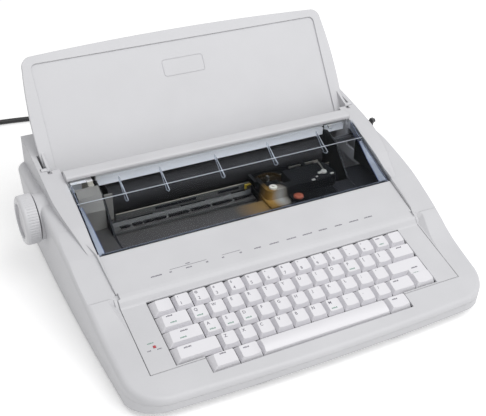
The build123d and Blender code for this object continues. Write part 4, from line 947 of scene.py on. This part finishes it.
# The circuit boards and the transformer
# Green laminate with etched tracks, and varnished steel laminations round a wound bobbin.
# etched laminate: glossy green varnish, in small lighter and darker fields
board, tree = blank("etched_laminate_green")
at = node(tree, "ShaderNodeTexCoord").outputs["Object"]
tracks = node(tree, "ShaderNodeTexVoronoi", {"distance": "CHEBYCHEV"},
              {"Vector": at, "Scale": 220.0})
tone = node(tree, "ShaderNodeMapRange", None, {
    "Value": tracks.outputs["Distance"], "From Min": 0.1, "From Max": 0.6, "To Min": 0.8,
    "To Max": 1.3})
base = node(tree, "ShaderNodeHueSaturation", None, {"Value": tone.outputs[0],
                                                    "Color": linear("#2F6B45")})
skin = node(tree, "ShaderNodeBsdfPrincipled", None, {
    "Base Color": base.outputs[0], "Roughness": 0.3, "IOR": 1.55})
node(tree, "ShaderNodeOutputMaterial", None, {"Surface": skin.outputs[0]})
dress(board, "main_board", "keyboard_board")
# varnished laminations: dark grey steel, ribbed by the edges of its sheets
iron, tree = blank("varnished_steel_laminations")
at = node(tree, "ShaderNodeTexCoord").outputs["Object"]
sheets = node(tree, "ShaderNodeTexWave", {"bands_direction": "X"}, {"Vector": at,
                                                                    "Scale": 320.0})
bump = node(tree, "ShaderNodeBump", None, {"Height": sheets.outputs[1], "Strength": 0.4,
                                           "Distance": 0.0003})
skin = node(tree, "ShaderNodeBsdfPrincipled", None, {
    "Base Color": linear("#45403C"), "Metallic": 0.6, "Roughness": 0.5,
    "Normal": bump.outputs[0]})
node(tree, "ShaderNodeOutputMaterial", None, {"Surface": skin.outputs[0]})
dress(iron, "transformer")

# The floor and the light
# A plain white floor, an even white room, and one large soft lamp up in front, a little to
# the right. Floor and room are brighter to the eye than in the light that they throw.
floor_half = 6
corners = [(a * floor_half, b * floor_half, 0) for a, b in ((-1, -1), (1, -1), (1, 1), (-1, 1))]
floor_mesh = bpy.data.meshes.new("floor")
floor_mesh.from_pydata(corners, [], [(0, 1, 2, 3)])
floor = bpy.data.objects.new("floor", floor_mesh)
bpy.context.scene.collection.objects.link(floor)


def seen_ray(tree):
    """1 for a ray that the eye follows, straight, mirrored or through clear plastic."""
    rays = node(tree, "ShaderNodeLightPath")
    direct = node(tree, "ShaderNodeMath", {"operation": "MAXIMUM"}, {
        0: rays.outputs["Is Camera Ray"], 1: rays.outputs["Is Glossy Ray"]})
    either = node(tree, "ShaderNodeMath", {"operation": "MAXIMUM"}, {
        0: direct.outputs[0], 1: rays.outputs["Is Transmission Ray"]})
    return either.outputs[0]


floor_paint, tree = blank("matt_white_floor")
paint = node(tree, "ShaderNodeBsdfDiffuse", None, {"Color": linear("#F4F4F4")})
glow = node(tree, "ShaderNodeEmission", None, {"Color": (1, 1, 1, 1), "Strength": 0.32})
both = node(tree, "ShaderNodeAddShader", None, {0: paint.outputs[0], 1: glow.outputs[0]})
mixed = node(tree, "ShaderNodeMixShader", None, {
    0: seen_ray(tree), 1: paint.outputs[0], 2: both.outputs[0]})
node(tree, "ShaderNodeOutputMaterial", None, {"Surface": mixed.outputs[0]})
floor_mesh.materials.append(floor_paint)

world = bpy.data.worlds.new("white_room")
bpy.context.scene.world = world
world.use_nodes = True
tree = world.node_tree
tree.nodes.clear()
strength = node(tree, "ShaderNodeMapRange", None, {"Value": seen_ray(tree), "To Min": 0.6,
                                                   "To Max": 1.0})
sky = node(tree, "ShaderNodeBackground", None, {"Color": (1, 1, 1, 1),
                                                "Strength": strength.outputs[0]})
node(tree, "ShaderNodeOutputWorld", None, {"Surface": sky.outputs[0]})
lamp_data = bpy.data.lights.new("soft_lamp", "AREA")
lamp_data.energy = 22.5
lamp_data.shape = "SQUARE"
lamp_data.size = 1.5
lamp = bpy.data.objects.new("soft_lamp", lamp_data)
lamp.location = (0.5, -0.95, 1.8)
aim = Vector((0, 0, 0.05)) - lamp.location
lamp.rotation_euler = aim.to_track_quat("-Z", "Y").to_euler()
bpy.context.scene.collection.objects.link(lamp)

bpy.context.scene.view_settings.view_transform = "Standard"
